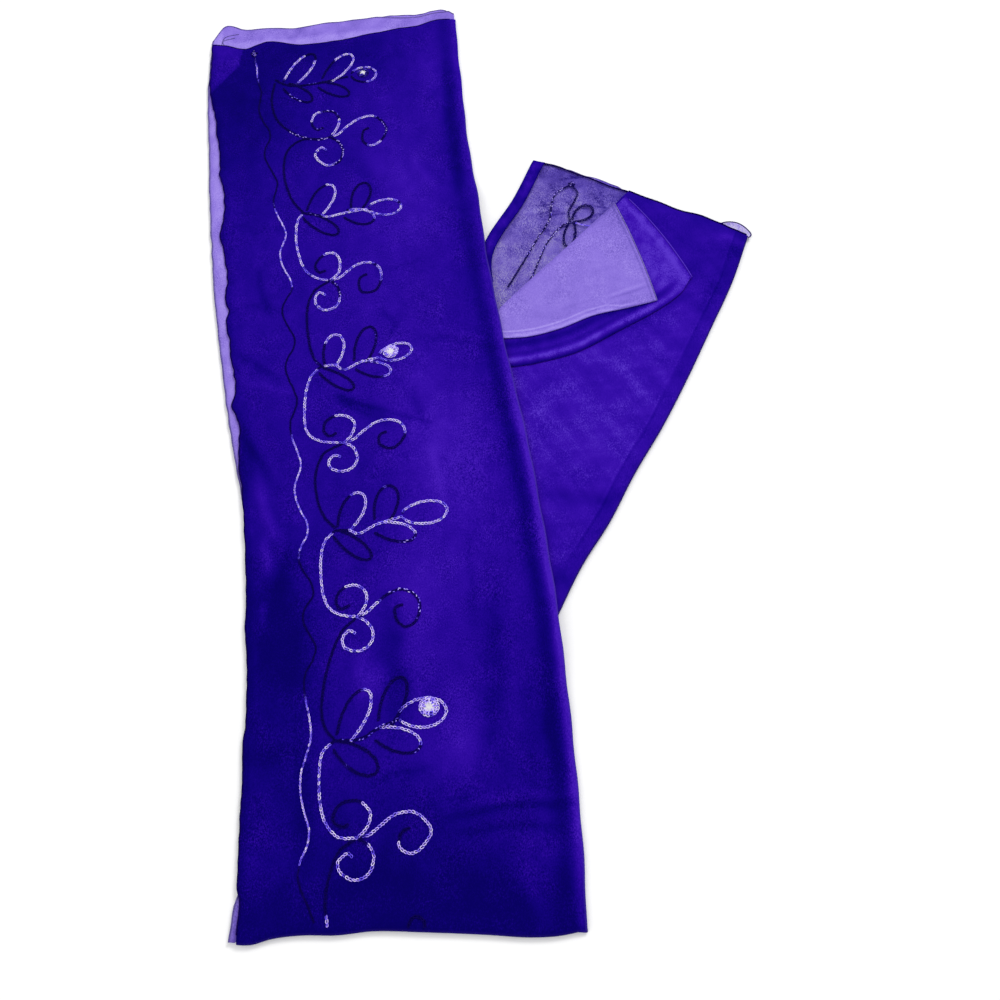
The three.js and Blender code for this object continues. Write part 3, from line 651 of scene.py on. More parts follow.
def lining_front():
    rows = np.concatenate([np.linspace(0, 0.03, 8)[:-1], np.linspace(0.03, 1, 243)])
    cols = np.concatenate([np.linspace(0, 0.1, 12)[:-1], np.linspace(0.1, 1, 46)])
    V, C = np.meshgrid(rows, cols, indexing="ij")
    w = leg_width(front, V)
    start = mix(0.0015, 0.009, smooth((C * 280 - 5) / 7))  # it shows at the bottom left corner only
    V = start + V * (1 - start)
    left_y = on_leg(front, 0.0, V)[1]
    shown = smooth((left_y - 360) / 20) + smooth((34 - left_y) / 12)
    left = mix(2.0, 0.0, clamp(shown)) + ripple(left_y, left_y, 21, 0.35, 45) + look(LEFT_IN, "y", "inset", left_y)
    stop = mix(LINING_STOP, 1.2, smooth((V - 0.965) / 0.03))
    u = mix(left / w, 1 - stop / w, C)
    past = end_past(FRONT_END, "lining", u, V, FRONT_LENGTH)
    past -= 4.5 * smooth((u - 0.66) / 0.1) * smooth((0.985 - u) / 0.02) * smooth((V - 0.96) / 0.04)
    past += ripple(u * w, 0 * w, 15, 0.5, 45) * smooth((V - 0.97) / 0.03)
    past -= 6.0 * clamp((u * w - w + 8.5) / 7.3) ** 2.2 * smooth((V - 0.96) / 0.04)
    x, y, z = front_surface(u, V, past, LINE)
    P = np.stack([x, y, z], -1)
    d_left = u * w
    shade = -0.5 * np.exp(-((d_left - tucked(left_y)) / 2.6) ** 2)
    tone = 0.1 + 0.35 * smooth((d_left) / 6) * smooth((y - 380) / 80) + shade
    past_over = past - look(FRONT_END, "across", "overlay", u)
    # at the top end, a painted shadow where the overlay's end lies over the lining
    tone = np.where(V > 0.985, -0.1 - 0.45 * np.exp(-(past_over / 3.5) ** 2) + 0.12 * np.sin(u * 31), tone)
    tone = tone + ripple(x, y, 31, 0.2, 26) - 0.35 * smooth((60 - y) / 40)
    tone = tone + 0.55 * smooth((14 - u * w) / 3) * smooth((V - 0.975) / 0.01)
    edge = np.exp(-((u * w - left) / 1.1) ** 2) * 0.4
    pts, faces, attrs, rim = shell(P, {"tone": np.clip(tone, -1, 1), "edge": edge})
    # a second lavender ply under it, seen past it at the right of the open end
    r2 = np.linspace(1 - 46 / FRONT_LENGTH, 1, 16)
    c2 = np.linspace(0.6, 0.99, 46)
    V2, U2 = np.meshgrid(r2, c2, indexing="ij")
    past2 = end_past(FRONT_END, "lining", U2, V2, FRONT_LENGTH, 30) + ripple(U2 * 280, 0 * U2, 17, 0.5, 40)
    past2 -= 9.0 * clamp((U2 - 0.955) / 0.035) ** 2 * smooth((V2 - 0.96) / 0.04)
    x2, y2, z2 = front_surface(U2, V2, past2, LINE - 0.62)
    P2 = np.stack([x2, y2, z2], -1)
    p2, f2, a2, _ = shell(P2, {"tone": np.full(x2.shape, 0.12) + ripple(x2, y2, 33, 0.15, 30), "edge": 0 * x2},
                          start=len(pts))
    pts = np.concatenate([pts, p2])
    faces = np.concatenate([faces, f2])
    attrs = {k: np.concatenate([attrs[k], a2[k]]) for k in attrs}
    obj = build("lining_front_cloth", pts, faces, m_lining, attrs, True)
    hems = Soup()
    for line in (P[:, 0], P[-1], P2[-1]):
        path = line + np.array([0, 0, -THIN / 2 + 0.05])
        p, f = tube(path, 0.62 * (1 + 0.15 * np.sin(np.arange(len(path)) * 1.3)))
        hems.add(p, f, tone=-0.35)
    # the corner folded over at the top left: its two edges
    for pts in ([(2, -20), (9, -4), (14, 12), (30, 16)], [(20, -18), (13, -2), (12, 6), (26, 10)]):
        q = spline([(a, b) for a, b in pts], 1.0)
        su, sv = q[:, 0] / 280, 1 + 0 * q[:, 0]
        px, py, pz = front_surface(su, sv, q[:, 1], LINE)
        p, f = tube(np.stack([px, py, pz + 0.1], -1), 0.5)
        hems.add(p, f, tone=-0.3)
    return obj, hems.finish("lining_front_hem", m_hem_pale)


def tucked(y):
    return look(LEFT_WAVE, "y", "short", y)


def layered_solid(name, nu, nv, plan, top, height, layers, material):
    """A folded heap: flat below, and at its sides the edges of its layers, none quite in line."""
    low = np.zeros((nv + 1, nu + 1, 3))
    high = np.zeros((nv + 1, nu + 1, 3))
    J, I = np.meshgrid(np.arange(nv + 1), np.arange(nu + 1), indexing="ij")
    x, y = plan(I, J, 0.35)
    low[..., 0], low[..., 1] = x, y
    x, y = plan(I, J, 0.5)
    high[..., 0], high[..., 1], high[..., 2] = x, y, top(x, y)
    rim = ([(0, i) for i in range(nu)] + [(j, nu) for j in range(nv)]
           + [(nv, i) for i in range(nu, 0, -1)] + [(j, 0) for j in range(nv, 0, -1)])
    rj = np.array([r[0] for r in rim])
    ri = np.array([r[1] for r in rim])
    pts = [low.reshape(-1, 3), high.reshape(-1, 3)]
    idx = np.arange((nv + 1) * (nu + 1)).reshape(nv + 1, nu + 1)
    off = idx.size
    a, b, c, d = idx[:-1, :-1], idx[:-1, 1:], idx[1:, 1:], idx[1:, :-1]
    faces = [np.stack([a, b, c, d], -1).reshape(-1, 4) + off, np.stack([a, d, c, b], -1).reshape(-1, 4)]
    tones = [np.full(off, -0.2), np.full(off, -0.6)]
    loops = [idx[rj, ri]]
    count = 2 * off
    s = np.arange(len(rim))
    for k in range(layers):
        wave = 0.45 * np.sin(s * 0.11 + k * 2.1) + 0.3 * np.sin(s * 0.037 * (k + 1) + k)
        # the near-black rows at the top and bottom of each layer's edge are painted shade between the layers; the
        # layers themselves alternate lavender and violet
        for up, inset, tone in ((0.02, 0.9, -0.9), (0.22, 0.12, None), (0.78, 0.12, None), (0.98, 0.9, -0.9)):
            if k == 0 and up == 0.02:
                continue
            px, py = plan(ri, rj, np.maximum(inset + 0.3 + wave * (inset < 0.5), 0.02))
            ztop = top(px, py)
            z = (k + up) / layers * np.minimum(height, ztop - 0.05)
            z = z + (ztop - 0.05 - np.minimum(height, ztop - 0.05)) * ((k + up) / layers)
            pts.append(np.stack([px, py, z], -1))
            t = tone if tone is not None else (0.45 if k % 2 else -0.35)
            tones.append(np.full(len(rim), t))
            loops.append(np.arange(len(rim)) + count)
            count += len(rim)
    loops.append(idx[rj, ri] + off)
    for lo, hi in zip(loops[:-1], loops[1:]):
        faces.append(np.stack([lo, np.roll(lo, -1), np.roll(hi, -1), hi], -1))
    return build(name, np.concatenate(pts), np.concatenate(faces), material, {"tone": np.concatenate(tones)}, True)


def inner_front():
    nu, nv = 60, 200

    def plan(i, j, inset):
        v = np.maximum(j / nv, 0.012)
        w = leg_width(front, v)
        left = look(front, "along", "tuck", v) * 0.4 + 4 + inset + look(LEFT_IN, "y", "inset", on_leg(front, 0.0, v)[1])
        right = CORE_STOP + inset
        u = mix(left / w, 1 - right / w, i / nu)
        length = np.where(j == 0, inset, np.where(j == nv, -7 - inset, 0.0))
        return on_leg(front, u, v + length / FRONT_LENGTH)

    def top(x, y):
        u, v = leg_place(front, FRONT_LENGTH, x, y)
        return CORE_FRONT + front_floor(u, v) + np.minimum(front_relief(x, y, u, v), 1.7)

    return layered_solid("inner_layers_front_cloth", nu, nv, plan, top, CORE_FRONT, 5, m_inner)


# ------------------------------------------------------------------ the back leg
def back_relief(x, y):
    high, _ = folds(FOLDS_BACK, x, y)
    u, v = leg_place(back, BACK_LENGTH, x, y)
    w = leg_width(back, v)
    keep = smooth((u * w - 12) / 22)
    under = smooth((560 - y) / 30) + smooth((x - 190) / 20)  # flat below the turned-back corner
    return (np.clip(high, -1.0, 0.8) + ripple(x, y, 41, 0.22, 60)) * keep * clamp(under)


def back_droop(v, past):
    return 1.9 * smooth(((v - 1) * BACK_LENGTH + past + 8) / 14)


def back_tone(x, y, u, v):
    _, tone = folds(FOLDS_BACK, x, y)
    rim = (1 - u) * leg_width(back, v)
    seam = -0.3 * np.exp(-((rim - 13) / 1.1) ** 2) + 0.18 * np.exp(-((rim - 15.5) / 1.5) ** 2)
    # Painted light and shade: the leg lighter in its middle, darker at its top and towards its bottom, and darker close
    # to its right-hand fold.
    base = mix(0.62, 0.12, smooth((y - 560) / 110)) - 0.25 * smooth((440 - y) / 120)
    base = base - 0.22 * smooth((24 - rim) / 14) + ripple(x, y, 121, 0.13, 40)
    return base + 0.6 * tone + seam * smooth((y - 300) / 60)


def back_point(u, v, past, z):
    x, y = on_leg(back, u, v, past)
    return x, y, z + back_relief(x, y) - back_droop(v, past)


def crease_at(v):
    lx, ly = on_leg(back, 0.0, v)
    rx, ry = on_leg(back, 1.0, v)
    x0, y0, x1, y1 = CREASE

    def off(x, y):
        return (x - x0) * (y1 - y0) - (y - y0) * (x1 - x0)

    return -off(lx, ly) / (off(rx, ry) - off(lx, ly))


def back_layer(name, z, left, right, column, material, nu, nv, tone_of, wave=None):
    V, C = np.meshgrid(np.linspace(0.006, 1, nv), np.linspace(0, 1, nu), indexing="ij")
    w = leg_width(back, V)
    u = mix(np.minimum(left, w * 0.1) / w, 1 - np.minimum(right, w * 0.75) / w, C)
    past = end_past(BACK_END, column, u, V, BACK_LENGTH, 24)
    if wave:
        past = past + wave(u, V)
    x, y, h = back_point(u, V, past, z + WALL)
    P = np.stack([x, y, h], -1)
    pts, faces, attrs, rim = shell(P, {"tone": tone_of(x, y, u, V), "edge": 0 * x})
    return build(name, pts, faces, material, attrs, True, rim), P


def corner_loop():
    """The lining standing open in the right-hand fold at the top: a shallow scoop."""
    bottom = spline([(231, 702), (242, 695), (251, 689.5), (260.5, 684.2)], 0.5)
    rise = spline([(231, 702), (240, 704.2), (249, 703.2), (256, 699), (261.5, 692.6), (263.8, 688), (262.6, 685.2),
                   (260.5, 684.2)], 0.5)
    n, k = 46, 12
    at = lambda p: np.stack([np.interp(np.linspace(0, 1, n), np.linspace(0, 1, len(p)), p[:, i]) for i in (0, 1)], -1)
    lo, hi = at(bottom), at(rise)
    S, T = np.meshgrid(np.linspace(0, 1, k), np.linspace(0, 1, n), indexing="ij")
    x = mix(lo[None, :, 0], hi[None, :, 0], S)
    y = mix(lo[None, :, 1], hi[None, :, 1], S)
    open_ = np.sin(math.pi * T) ** 0.7
    z = 3.0 - 1.5 * np.sin(math.pi * np.minimum(S * 1.15, 1)) * open_ + 0.9 * S * open_
    # darker along its lower edge, where it meets the ply below: painted shade
    tone = 0.85 - 0.5 * np.exp(-(S / 0.25) ** 2) + ripple(x, y, 131, 0.15, 9)
    return np.stack([x, y, z], -1), np.clip(tone, -1, 1)


def top_wave(u, v):
    """The top hem's small undulations, shared by the plies that end there."""
    w = leg_width(back, v)
    return ripple(u * w, 0 * w, 52, 1.3, 95) * smooth((v - 0.95) / 0.05)


def overlay_back():
    nu, nv = 84, 190
    v = np.linspace(0, 1, nv)
    c = np.linspace(0, 1, nu)
    cu = np.concatenate([c, np.ones(len(half_turn))])
    fu = np.concatenate([np.zeros(nu), half_turn])
    V, C = np.meshgrid(v, cu, indexing="ij")
    _, FU = np.meshgrid(v, fu, indexing="ij")
    w = leg_width(back, V)
    reach = np.minimum(FOLD_REACH, w * 0.55)
    u0 = mix(clamp(crease_at(V)), 1 - reach / w, C)
    # at the open end the ply dips by the right-hand fold, so that its loop shows
    d = (1 - u0) * w
    past = end_past(BACK_END, "overlay", u0, V, BACK_LENGTH, 24) + top_wave(u0, V) * smooth((d - 20) / 20)
    x, y, z = back_point(u0, V, past, BACK_TOP)
    z = z + 0.8 * np.exp(-((d - 12) / 9) ** 2) * smooth((V - 0.93) / 0.07)
    drop = (1 + np.cos(FU)) / 2
    z = np.where(FU > 0, THIN + (z - THIN) * drop, z)
    lean = np.radians(look(back, "along", "lean", V))
    r = reach * np.sin(FU)
    x, y = x + r * np.cos(lean), y + r * np.sin(lean)
    P = np.stack([x, y, z], -1)
    tone = back_tone(x, y, u0 + r / w, V)
    tone = tone + 0.45 * np.exp(-((V - 0.975) / 0.012) ** 2) * np.exp(-((d - 16) / 16) ** 2)
    # the fold's edge is coloured darker: painted shade where the cloth turns down and away
    edge = 0.85 * smooth((FU - 0.8) / 0.4)
    pts, faces, attrs, rim = shell(P, {"tone": np.clip(tone, -1, 1), "edge": edge})
    obj = build("overlay_back_cloth", pts, faces, m_back, attrs, True, rim)
    return obj, P[-1, :nu + 2]


def turned(name, tab, z, material, nu, nv, lift, tone_of, wrap):
    n = len(tab["cx"])
    tab = {**tab, "along": np.linspace(0, 1, n)}
    t = np.linspace(0, 1, nu)
    V, T = np.meshgrid(np.linspace(0, 1, nv), t, indexing="ij")
    cx, cy = look(tab, "along", "cx", V), look(tab, "along", "cy", V)
    ex, ey = look(tab, "along", "ex", V), look(tab, "along", "ey", V)
    if not wrap:  # the free corner is rounded
        back_off = 0.05 * smooth((V - 0.86) / 0.14) ** 2.6
        ex, ey = ex + (cx - ex) * back_off, ey + (cy - ey) * back_off
    bow = look(tab, "along", "bow", V) * 4 * T * (1 - T)
    run = np.hypot(ex - cx, ey - cy)
    x = mix(cx, ex, T) + (cy - ey) / run * bow
    y = mix(cy, ey, T) + (ex - cx) / run * bow
    h = z + WALL + lift(T, V, run)
    if wrap:  # rolled over the crease, down to the ply that it turns back from
        ang = np.radians(np.linspace(165, 15, 7))
        r = (z + WALL - 4.9) / 2
        ax, ay = -(CREASE[3] - CREASE[1]), CREASE[2] - CREASE[0]
        ln = math.hypot(ax, ay)
        ax, ay = ax / ln, ay / ln
        wx = cx[:, :1] + ax * 1.5 * np.sin(ang)[None, :]
        wy = cy[:, :1] + ay * 1.5 * np.sin(ang)[None, :]
        wz = h[:, :1] - r + r * np.cos(ang)[None, :]
        x, y, h = np.concatenate([wx, x], 1), np.concatenate([wy, y], 1), np.concatenate([wz, h], 1)
        T = np.concatenate([np.zeros_like(wx), T], 1)
        V = np.concatenate([np.repeat(V[:, :1], 7, 1), V], 1)
        run = np.concatenate([np.repeat(run[:, :1], 7, 1), run], 1)
    P = np.stack([x, y, h], -1)
    pts, faces, attrs, rim = shell(P, {"tone": np.clip(tone_of(T, V, run, x, y), -1, 1), "edge": 0 * x})
    return build(name, pts, faces, material, attrs, True, rim), P


def corner_lift(T, V, run):
    roll = np.exp(-(((1 - T) * run - 5.5) / 3.6) ** 2) * (1 - smooth((V - 0.62) / 0.3))
    tip = 0.8 * smooth((V - 0.75) / 0.25) * smooth((T - 0.7) / 0.3)
    return 1.5 * roll + tip - 0.5 * np.exp(-(((1 - T) * run - 0.2) / 1.6) ** 2) * (1 - smooth((V - 0.62) / 0.3))


def corner_tone(T, V, run, x, y):
    # Painted light and shade on the turned-back corner: broadly lighter towards its tip, a painted shadow below the
    # triangle's lower edge, a painted highlight on the roll along its loose edge, painted shade at that edge and above
    # the roll, and a lighter line and a darker rim along its outer end.
    d = (1 - T) * run
    fade = 1 - smooth((V - 0.75) / 0.25)
    shadow = mix(29, 15, smooth((V - 0.5) / 0.35))  # below the triangle's lower edge
    base = mix(0.5, 0.8, smooth((V - 0.66) / 0.22)) - 0.75 * np.exp(-((d - shadow + 3.5) / 5.0) ** 2) * fade
    return (base + 0.4 * np.exp(-((d - 7.0) / 4.0) ** 2) * fade - 0.9 * np.exp(-((d - 0.5) / 2.0) ** 2) * fade
            - 0.35 * np.exp(-((d - 14) / 2.5) ** 2) * fade + 0.25 * np.exp(-((V - 0.965) / 0.012) ** 2)
            - 0.35 * smooth((V - 0.985) / 0.012) + ripple(x, y, 61, 0.1, 30))


def lavender_lift(T, V, run):
    d = (1 - V) * 150
    hem = 0.28 * smooth((3.6 - d) / 0.8)
    crease = -0.25 * np.exp(-(((1 - T) * run - 7.0) / 1.2) ** 2) * smooth((0.72 - V) / 0.1)
    return hem + crease


def lavender_tone(T, V, run, x, y):
    # Painted light and shade on the turned-back lining: darker at its narrow top and along the crease it rolls over,
    # painted highlights with dark lines beside them along its lower edge, and small creases painted lighter and darker;
    # the two dark lines at its right are its stitched hem.
    d = (1 - V) * 150
    lines = -0.55 * np.exp(-((d - 3.6) / 0.7) ** 2) - 0.35 * np.exp(-((d - 0.3) / 0.8) ** 2)
    de = (1 - T) * run
    left = smooth((0.8 - V) / 0.12)
    wide = mix(3.2, 8.0, left)
    low = (0.85 * np.exp(-((de - wide) / 0.9) ** 2) - 0.45 * np.exp(-((de - wide + 1.8) / 0.9) ** 2)) * smooth((0.9 - V) / 0.1)
    low = low + 0.5 * np.exp(-((de - 2.2 - 0.8 * np.sin(V * 60)) / 1.1) ** 2) * left + 0.28 * smooth((wide - de) / 1.0) * left - 0.45 * np.exp(-((de - 0.3) / 1.0) ** 2)
    for x0, y0, x1, y1, half, t in ((108, 601, 150, 617, 1.4, -0.4), (112, 607, 148, 621, 1.8, 0.35), (96, 592, 132, 600, 1.2, -0.3),
                                    (60, 588, 118, 612, 2.0, -0.12), (86, 640, 118, 648, 1.6, 0.12)):
        long = math.hypot(x1 - x0, y1 - y0)
        k = ((x - x0) * (x1 - x0) + (y - y0) * (y1 - y0)) / long ** 2
        off = ((x - x0) * (y1 - y0) - (y - y0) * (x1 - x0)) / long / half
        low = low + t * np.exp(-off ** 2) * smooth((k + 0.2) / 0.4) * smooth((1.2 - k) / 0.4)
    return (0.0 - 0.4 * smooth((V - 0.72) / 0.28) * smooth((0.5 - T) / 0.5) + lines + low
            + ripple(x, y, 71, 0.08, 40) - 0.3 * np.exp(-(T * run / 2.5) ** 2))


# ------------------------------------------------------------------ embroidery
def spline(points, step=0.5):
    """A smooth line through points of the plan, evenly stepped."""
    p = np.asarray(points, float)
    q = np.concatenate([[2 * p[0] - p[1]], p, [2 * p[-1] - p[-2]]])
    out = []
    for i in range(1, len(q) - 2):
        t = np.linspace(0, 1, 24, endpoint=False)[:, None]
        a, b, c, d = q[i - 1], q[i], q[i + 1], q[i + 2]
        out.append(0.5 * (2 * b + (c - a) * t + (2 * a - 5 * b + 4 * c - d) * t * t + (-a + 3 * b - 3 * c + d) * t ** 3))
    out = np.concatenate(out + [p[-1:]])
    run = np.concatenate([[0], np.cumsum(np.hypot(*np.diff(out, axis=0).T))])
    s = np.arange(0, run[-1], step)
    return np.stack([np.interp(s, run, out[:, 0]), np.interp(s, run, out[:, 1])], -1)


def leaf(base, angle, long, wide, gap, flip=1.0, fat=0.6):
    """A drop-shaped loop from its base; angle in degrees from +X."""
    q = np.linspace(0, 1, 41)
    th = 2 * math.pi * q
    along = long * (1 - np.cos(th)) / 2
    side = flip * (wide / 2 * 1.12 * np.sin(th) * np.sin(th / 2) ** fat + gap / 2 * np.cos(math.pi * q) * (1 - np.sin(th / 2)))
    a = math.radians(angle)
    return np.stack([base[0] + along * math.cos(a) - side * math.sin(a),
                     base[1] + along * math.sin(a) + side * math.cos(a)], -1)


PITCH = 3.05  # one chain stitch


def chain(soup, path, surface, bright, rng, wide=1.2, thread=0.4, pitch=PITCH):
    """Chain stitch along a line of the plan. bright: (from, to, how much) shares with pale thread."""
    path = np.asarray(path, float)
    run = np.concatenate([[0], np.cumsum(np.hypot(*np.diff(path, axis=0).T))])
    total = run[-1]
    n = max(2, int(round(total / pitch)))
    m, k = 11, 5
    th = np.linspace(0, 2 * math.pi, m, endpoint=False)
    step = total / n
    start = (np.arange(n) * step)[:, None]
    along = start + step * (-0.12 + 1.3 * (1 - np.cos(th))[None, :] / 2)
    size = wide * (1 + rng.normal(0, 0.09, (n, 1)))
    skew = 0.3 * wide * np.where(rng.random((n, 1)) < 0.85, 1, -1)  # the thread's own twist tips each loop over
    side = size * np.sin(th)[None, :] * (0.45 + 0.55 * (1 - np.cos(th)) / 2)[None, :] + skew * np.cos(th)[None, :]
    side = side + rng.normal(0, 0.1, (n, 1))
    s = np.clip(along, 0, total)
    cx, cy = np.interp(s, run, path[:, 0]), np.interp(s, run, path[:, 1])
    e = 0.8
    s0, s1 = np.clip(s - e, 0, total), np.clip(s + e, 0, total)
    tx = np.interp(s1, run, path[:, 0]) - np.interp(s0, run, path[:, 0])
    ty = np.interp(s1, run, path[:, 1]) - np.interp(s0, run, path[:, 1])
    ln = np.maximum(np.hypot(tx, ty), 1e-6)
    x, y = cx - ty / ln * side, cy + tx / ln * side
    z = surface(x, y) + thread * (0.5 + 0.75 * (1 - np.cos(th))[None, :] / 2) + 0.1
    R = np.stack([x, y, z], -1)
    t = np.roll(R, -1, 1) - np.roll(R, 1, 1)
    t /= np.maximum(np.linalg.norm(t, axis=2, keepdims=True), 1e-9)
    up = np.zeros_like(t)
    up[..., 2] = 1
    lat = np.cross(t, up)
    lat /= np.maximum(np.linalg.norm(lat, axis=2, keepdims=True), 1e-9)
    up = np.cross(lat, t)
    ang = np.linspace(0, 2 * math.pi, k, endpoint=False)
    P = (R[:, :, None, :] + thread * (np.cos(ang)[None, None, :, None] * lat[:, :, None, :]
                                       + np.sin(ang)[None, None, :, None] * up[:, :, None, :]))
    i = np.arange(m)
    j = np.arange(k)
    I, J = np.meshgrid(i, j, indexing="ij")
    one = np.stack([I * k + J, ((I + 1) % m) * k + J, ((I + 1) % m) * k + (J + 1) % k, I * k + (J + 1) % k], -1).reshape(-1, 4)
    faces = (one[None] + (np.arange(n) * m * k)[:, None, None]).reshape(-1, 4)
    share = (start[:, 0] + step / 2) / total
    tone, spark = np.full(n, 0.0), np.full(n, 0.0)
    for a, b, level in bright:
        inside = smooth((share - a) / 0.03) * smooth((b - share) / 0.03)
        tone = np.maximum(tone, inside * abs(level))
        if level < 0:  # only a short stretch of most loops comes up pale
            spark = np.maximum(spark, inside)
    sunk = rng.random(n)
    tone = tone * np.where(sunk < 0.06, 0.6, np.where(sunk < 0.28, 0.76, 1.06))  # the thread is paler in some stitches than in others
    tone = np.clip(tone * (1 + rng.normal(0, 0.1, n)) + rng.normal(0, 0.05, n), 0, 1.1)
    turn = rng.uniform(0, 2 * math.pi, (n, 1))
    vary = 1 - 0.3 * (1 + np.cos(th[None, :] - turn)) / 2  # light and dark along the variegated thread
    vary = vary * (0.15 + 0.85 * smooth((1 - np.cos(th)) * 1.3))[None, :]  # painted shade where the thread comes up inside the last loop
    glint = np.exp(-(((th[None, :] - rng.uniform(1.2, 5.0, (n, 1))) / 0.75) ** 2)) * (rng.random((n, 1)) < 0.8)
    vary = mix(vary, glint, (spark > 0.3)[:, None] * 1.0)
    T = np.broadcast_to((tone[:, None] * vary)[:, :, None], (n, m, k))
    soup.add(P.reshape(-1, 3), faces, tone=T.ravel())
    return n


def front_top(x, y):
    u, v = leg_place(front, FRONT_LENGTH, x, y)
    past = np.maximum((v - 1) * FRONT_LENGTH, 0)
    return OVER + front_floor(u, np.minimum(v, 1)) + front_relief(x, y, u, np.minimum(v, 1)) - front_droop(u, np.minimum(v, 1), past)


def back_top(x, y):
    return Z_PLY_BACK + WALL + back_relief(np.asarray(x, float), np.asarray(y, float))


# The sprigs: where each starts, and its stem, as steps from there.
SPRIGS = [
    {"at": (-255, 906), "stem": [(0, 0), (12, -7), (26, -9), (52, -4), (82, 5)],
     "up": [((16, -6), 62, 52, 19, 16), ((58, -1), 57, 48, 20, 12)],
     "down": [((13, -9), -38, 38, 16, 10), ((51, -7), -25, 37, 15, 9)], "tip": ((86, 8), 2, 28, 22, 4)},
    {"at": (-209, 715), "stem": [(0, 0), (17, -3), (27, -5), (48, 1), (68, 5)],
     "up": [((12, 0), 68, 41, 20, 19), ((56, 5), 78, 37, 18, 11)],
     "down": [((3, -3), -34, 43, 16, 8), ((45, -1), -13, 32, 18, 10)], "tip": ((70, 6), 6, 34, 20, 4)},
    {"at": (-177, 523), "stem": [(0, 0), (14, 2), (24, -3), (38, 5), (57, 11)],
     "up": [((10, 2), 83, 36, 19, 12), ((39, 6), 79, 42, 18, 13)],
     "down": [((1, -4), -32, 39, 13, 7), ((36, 2), -14, 35, 16, 9)], "tip": ((58, 13), 10, 32, 19, 4)},
    {"at": (-151, 347), "stem": [(0, 0), (13, -1), (23, -5), (38, 3), (62, 11)],
     "up": [((8, 1), 70, 38, 21, 13), ((43, 7), 78, 36, 20, 14)],
     "down": [((1, -3), -38, 43, 14, 8), ((38, 0), -13, 37, 17, 10)], "tip": ((62, 12), 9, 41, 22, 5)},
    {"at": (-139, 153), "stem": [(0, 0), (14, 0), (25, 2), (34, 8), (54, 18)],
     "up": [((8, 2), 67, 44, 20, 14), ((42, 14), 71, 42, 18, 12)],
     "down": [((2, -4), -31, 42, 19, 8), ((36, 5), -14, 38, 19, 11)], "tip": ((54, 20), 8, 40, 24, 5)},
]
# Where the pale thread runs on each part of a sprig, as shares of it.
SPRIG_PALE = [
    {"stem": [(0.45, 0.62, -0.5)], "up": [[(0, 0.42, 1), (0.58, 0.97, 1)], [(0.27, 1.0, 1)]],
     "down": [[(0.05, 0.4, -0.8)], []], "tip": [(0.02, 0.75, 0.85)]},
    {"stem": [(0.06, 0.3, -0.7), (0.3, 1.0, 1)], "up": [[(0.42, 1.0, 1)], [(0.44, 0.48, 0.5)]],
     "down": [[], [(0.5, 0.98, 0.9)]], "tip": [(0.0, 0.42, 0.9), (0.44, 0.98, 0.85)]},
    {"stem": [(0.02, 0.4, 0.8), (0.4, 1.0, 0.95)], "up": [[(0.28, 1.0, 0.95)], [(0.55, 0.8, -0.3)]],
     "down": [[], [(0.35, 1.0, 0.7)]], "tip": [(0, 1, 0.9)]},
    {"stem": [(0.18, 1.0, 0.95)], "up": [[(0.38, 1.0, 0.95)], [(0.4, 0.47, 0.7)]],
     "down": [[], [(0.3, 0.5, -0.8), (0.5, 1.0, 0.9)]], "tip": [(0, 1, 1)]},
    {"stem": [(0.08, 1.0, -0.75)], "up": [[(0.44, 1.0, 1)], [(0.3, 0.38, 0.3)]],
     "down": [[(0.12, 0.25, 0.25)], [(0.38, 0.5, -0.8), (0.5, 1.0, 0.9)]], "tip": [(0, 1, 1)]},
]
# The scrolls: where each group's middle is, how wide and tall, its turn, and its pale stretches.
SCROLLS = [
    {"at": (-187, 821), "size": (1.04, 1.3), "turn": 0, "pale": [[(0, 0.3, 1), (0.3, 0.55, -0.8), (0.55, 0.78, 1), (0.78, 0.97, -0.7)],
     [(0, 0.42, 1), (0.42, 0.62, -0.8), (0.66, 0.8, 0.9)], [(0.05, 0.5, -0.9), (0.4, 1.0, 1)]]},
    {"at": (-174, 627), "size": (0.88, 1.16), "turn": -6, "pale": [[(0, 0.62, 0.95)], [(0, 0.4, 0.95), (0.4, 0.6, 0.75)],
     [(0, 0.3, -0.9), (0.28, 1.0, 1)]]},
    {"at": (-148, 438), "size": (1.0, 1.0), "turn": 0, "pale": [[(0, 0.58, 1)], [(0, 0.6, 1)], [(0, 1.0, 0.95)]]},
    {"at": (-125, 262), "size": (0.96, 1.03), "turn": 1, "pale": [[(0, 0.6, 1)], [(0, 0.2, 1), (0.2, 0.66, -0.95)], [(0, 1.0, 1)]]},
    {"at": (-115, 74), "size": (1.02, 0.98), "turn": -3, "pale": [[(0, 0.42, 0.95)], [(0.02, 0.9, 0.85)], [(0.08, 1.0, 0.9)]]},
]
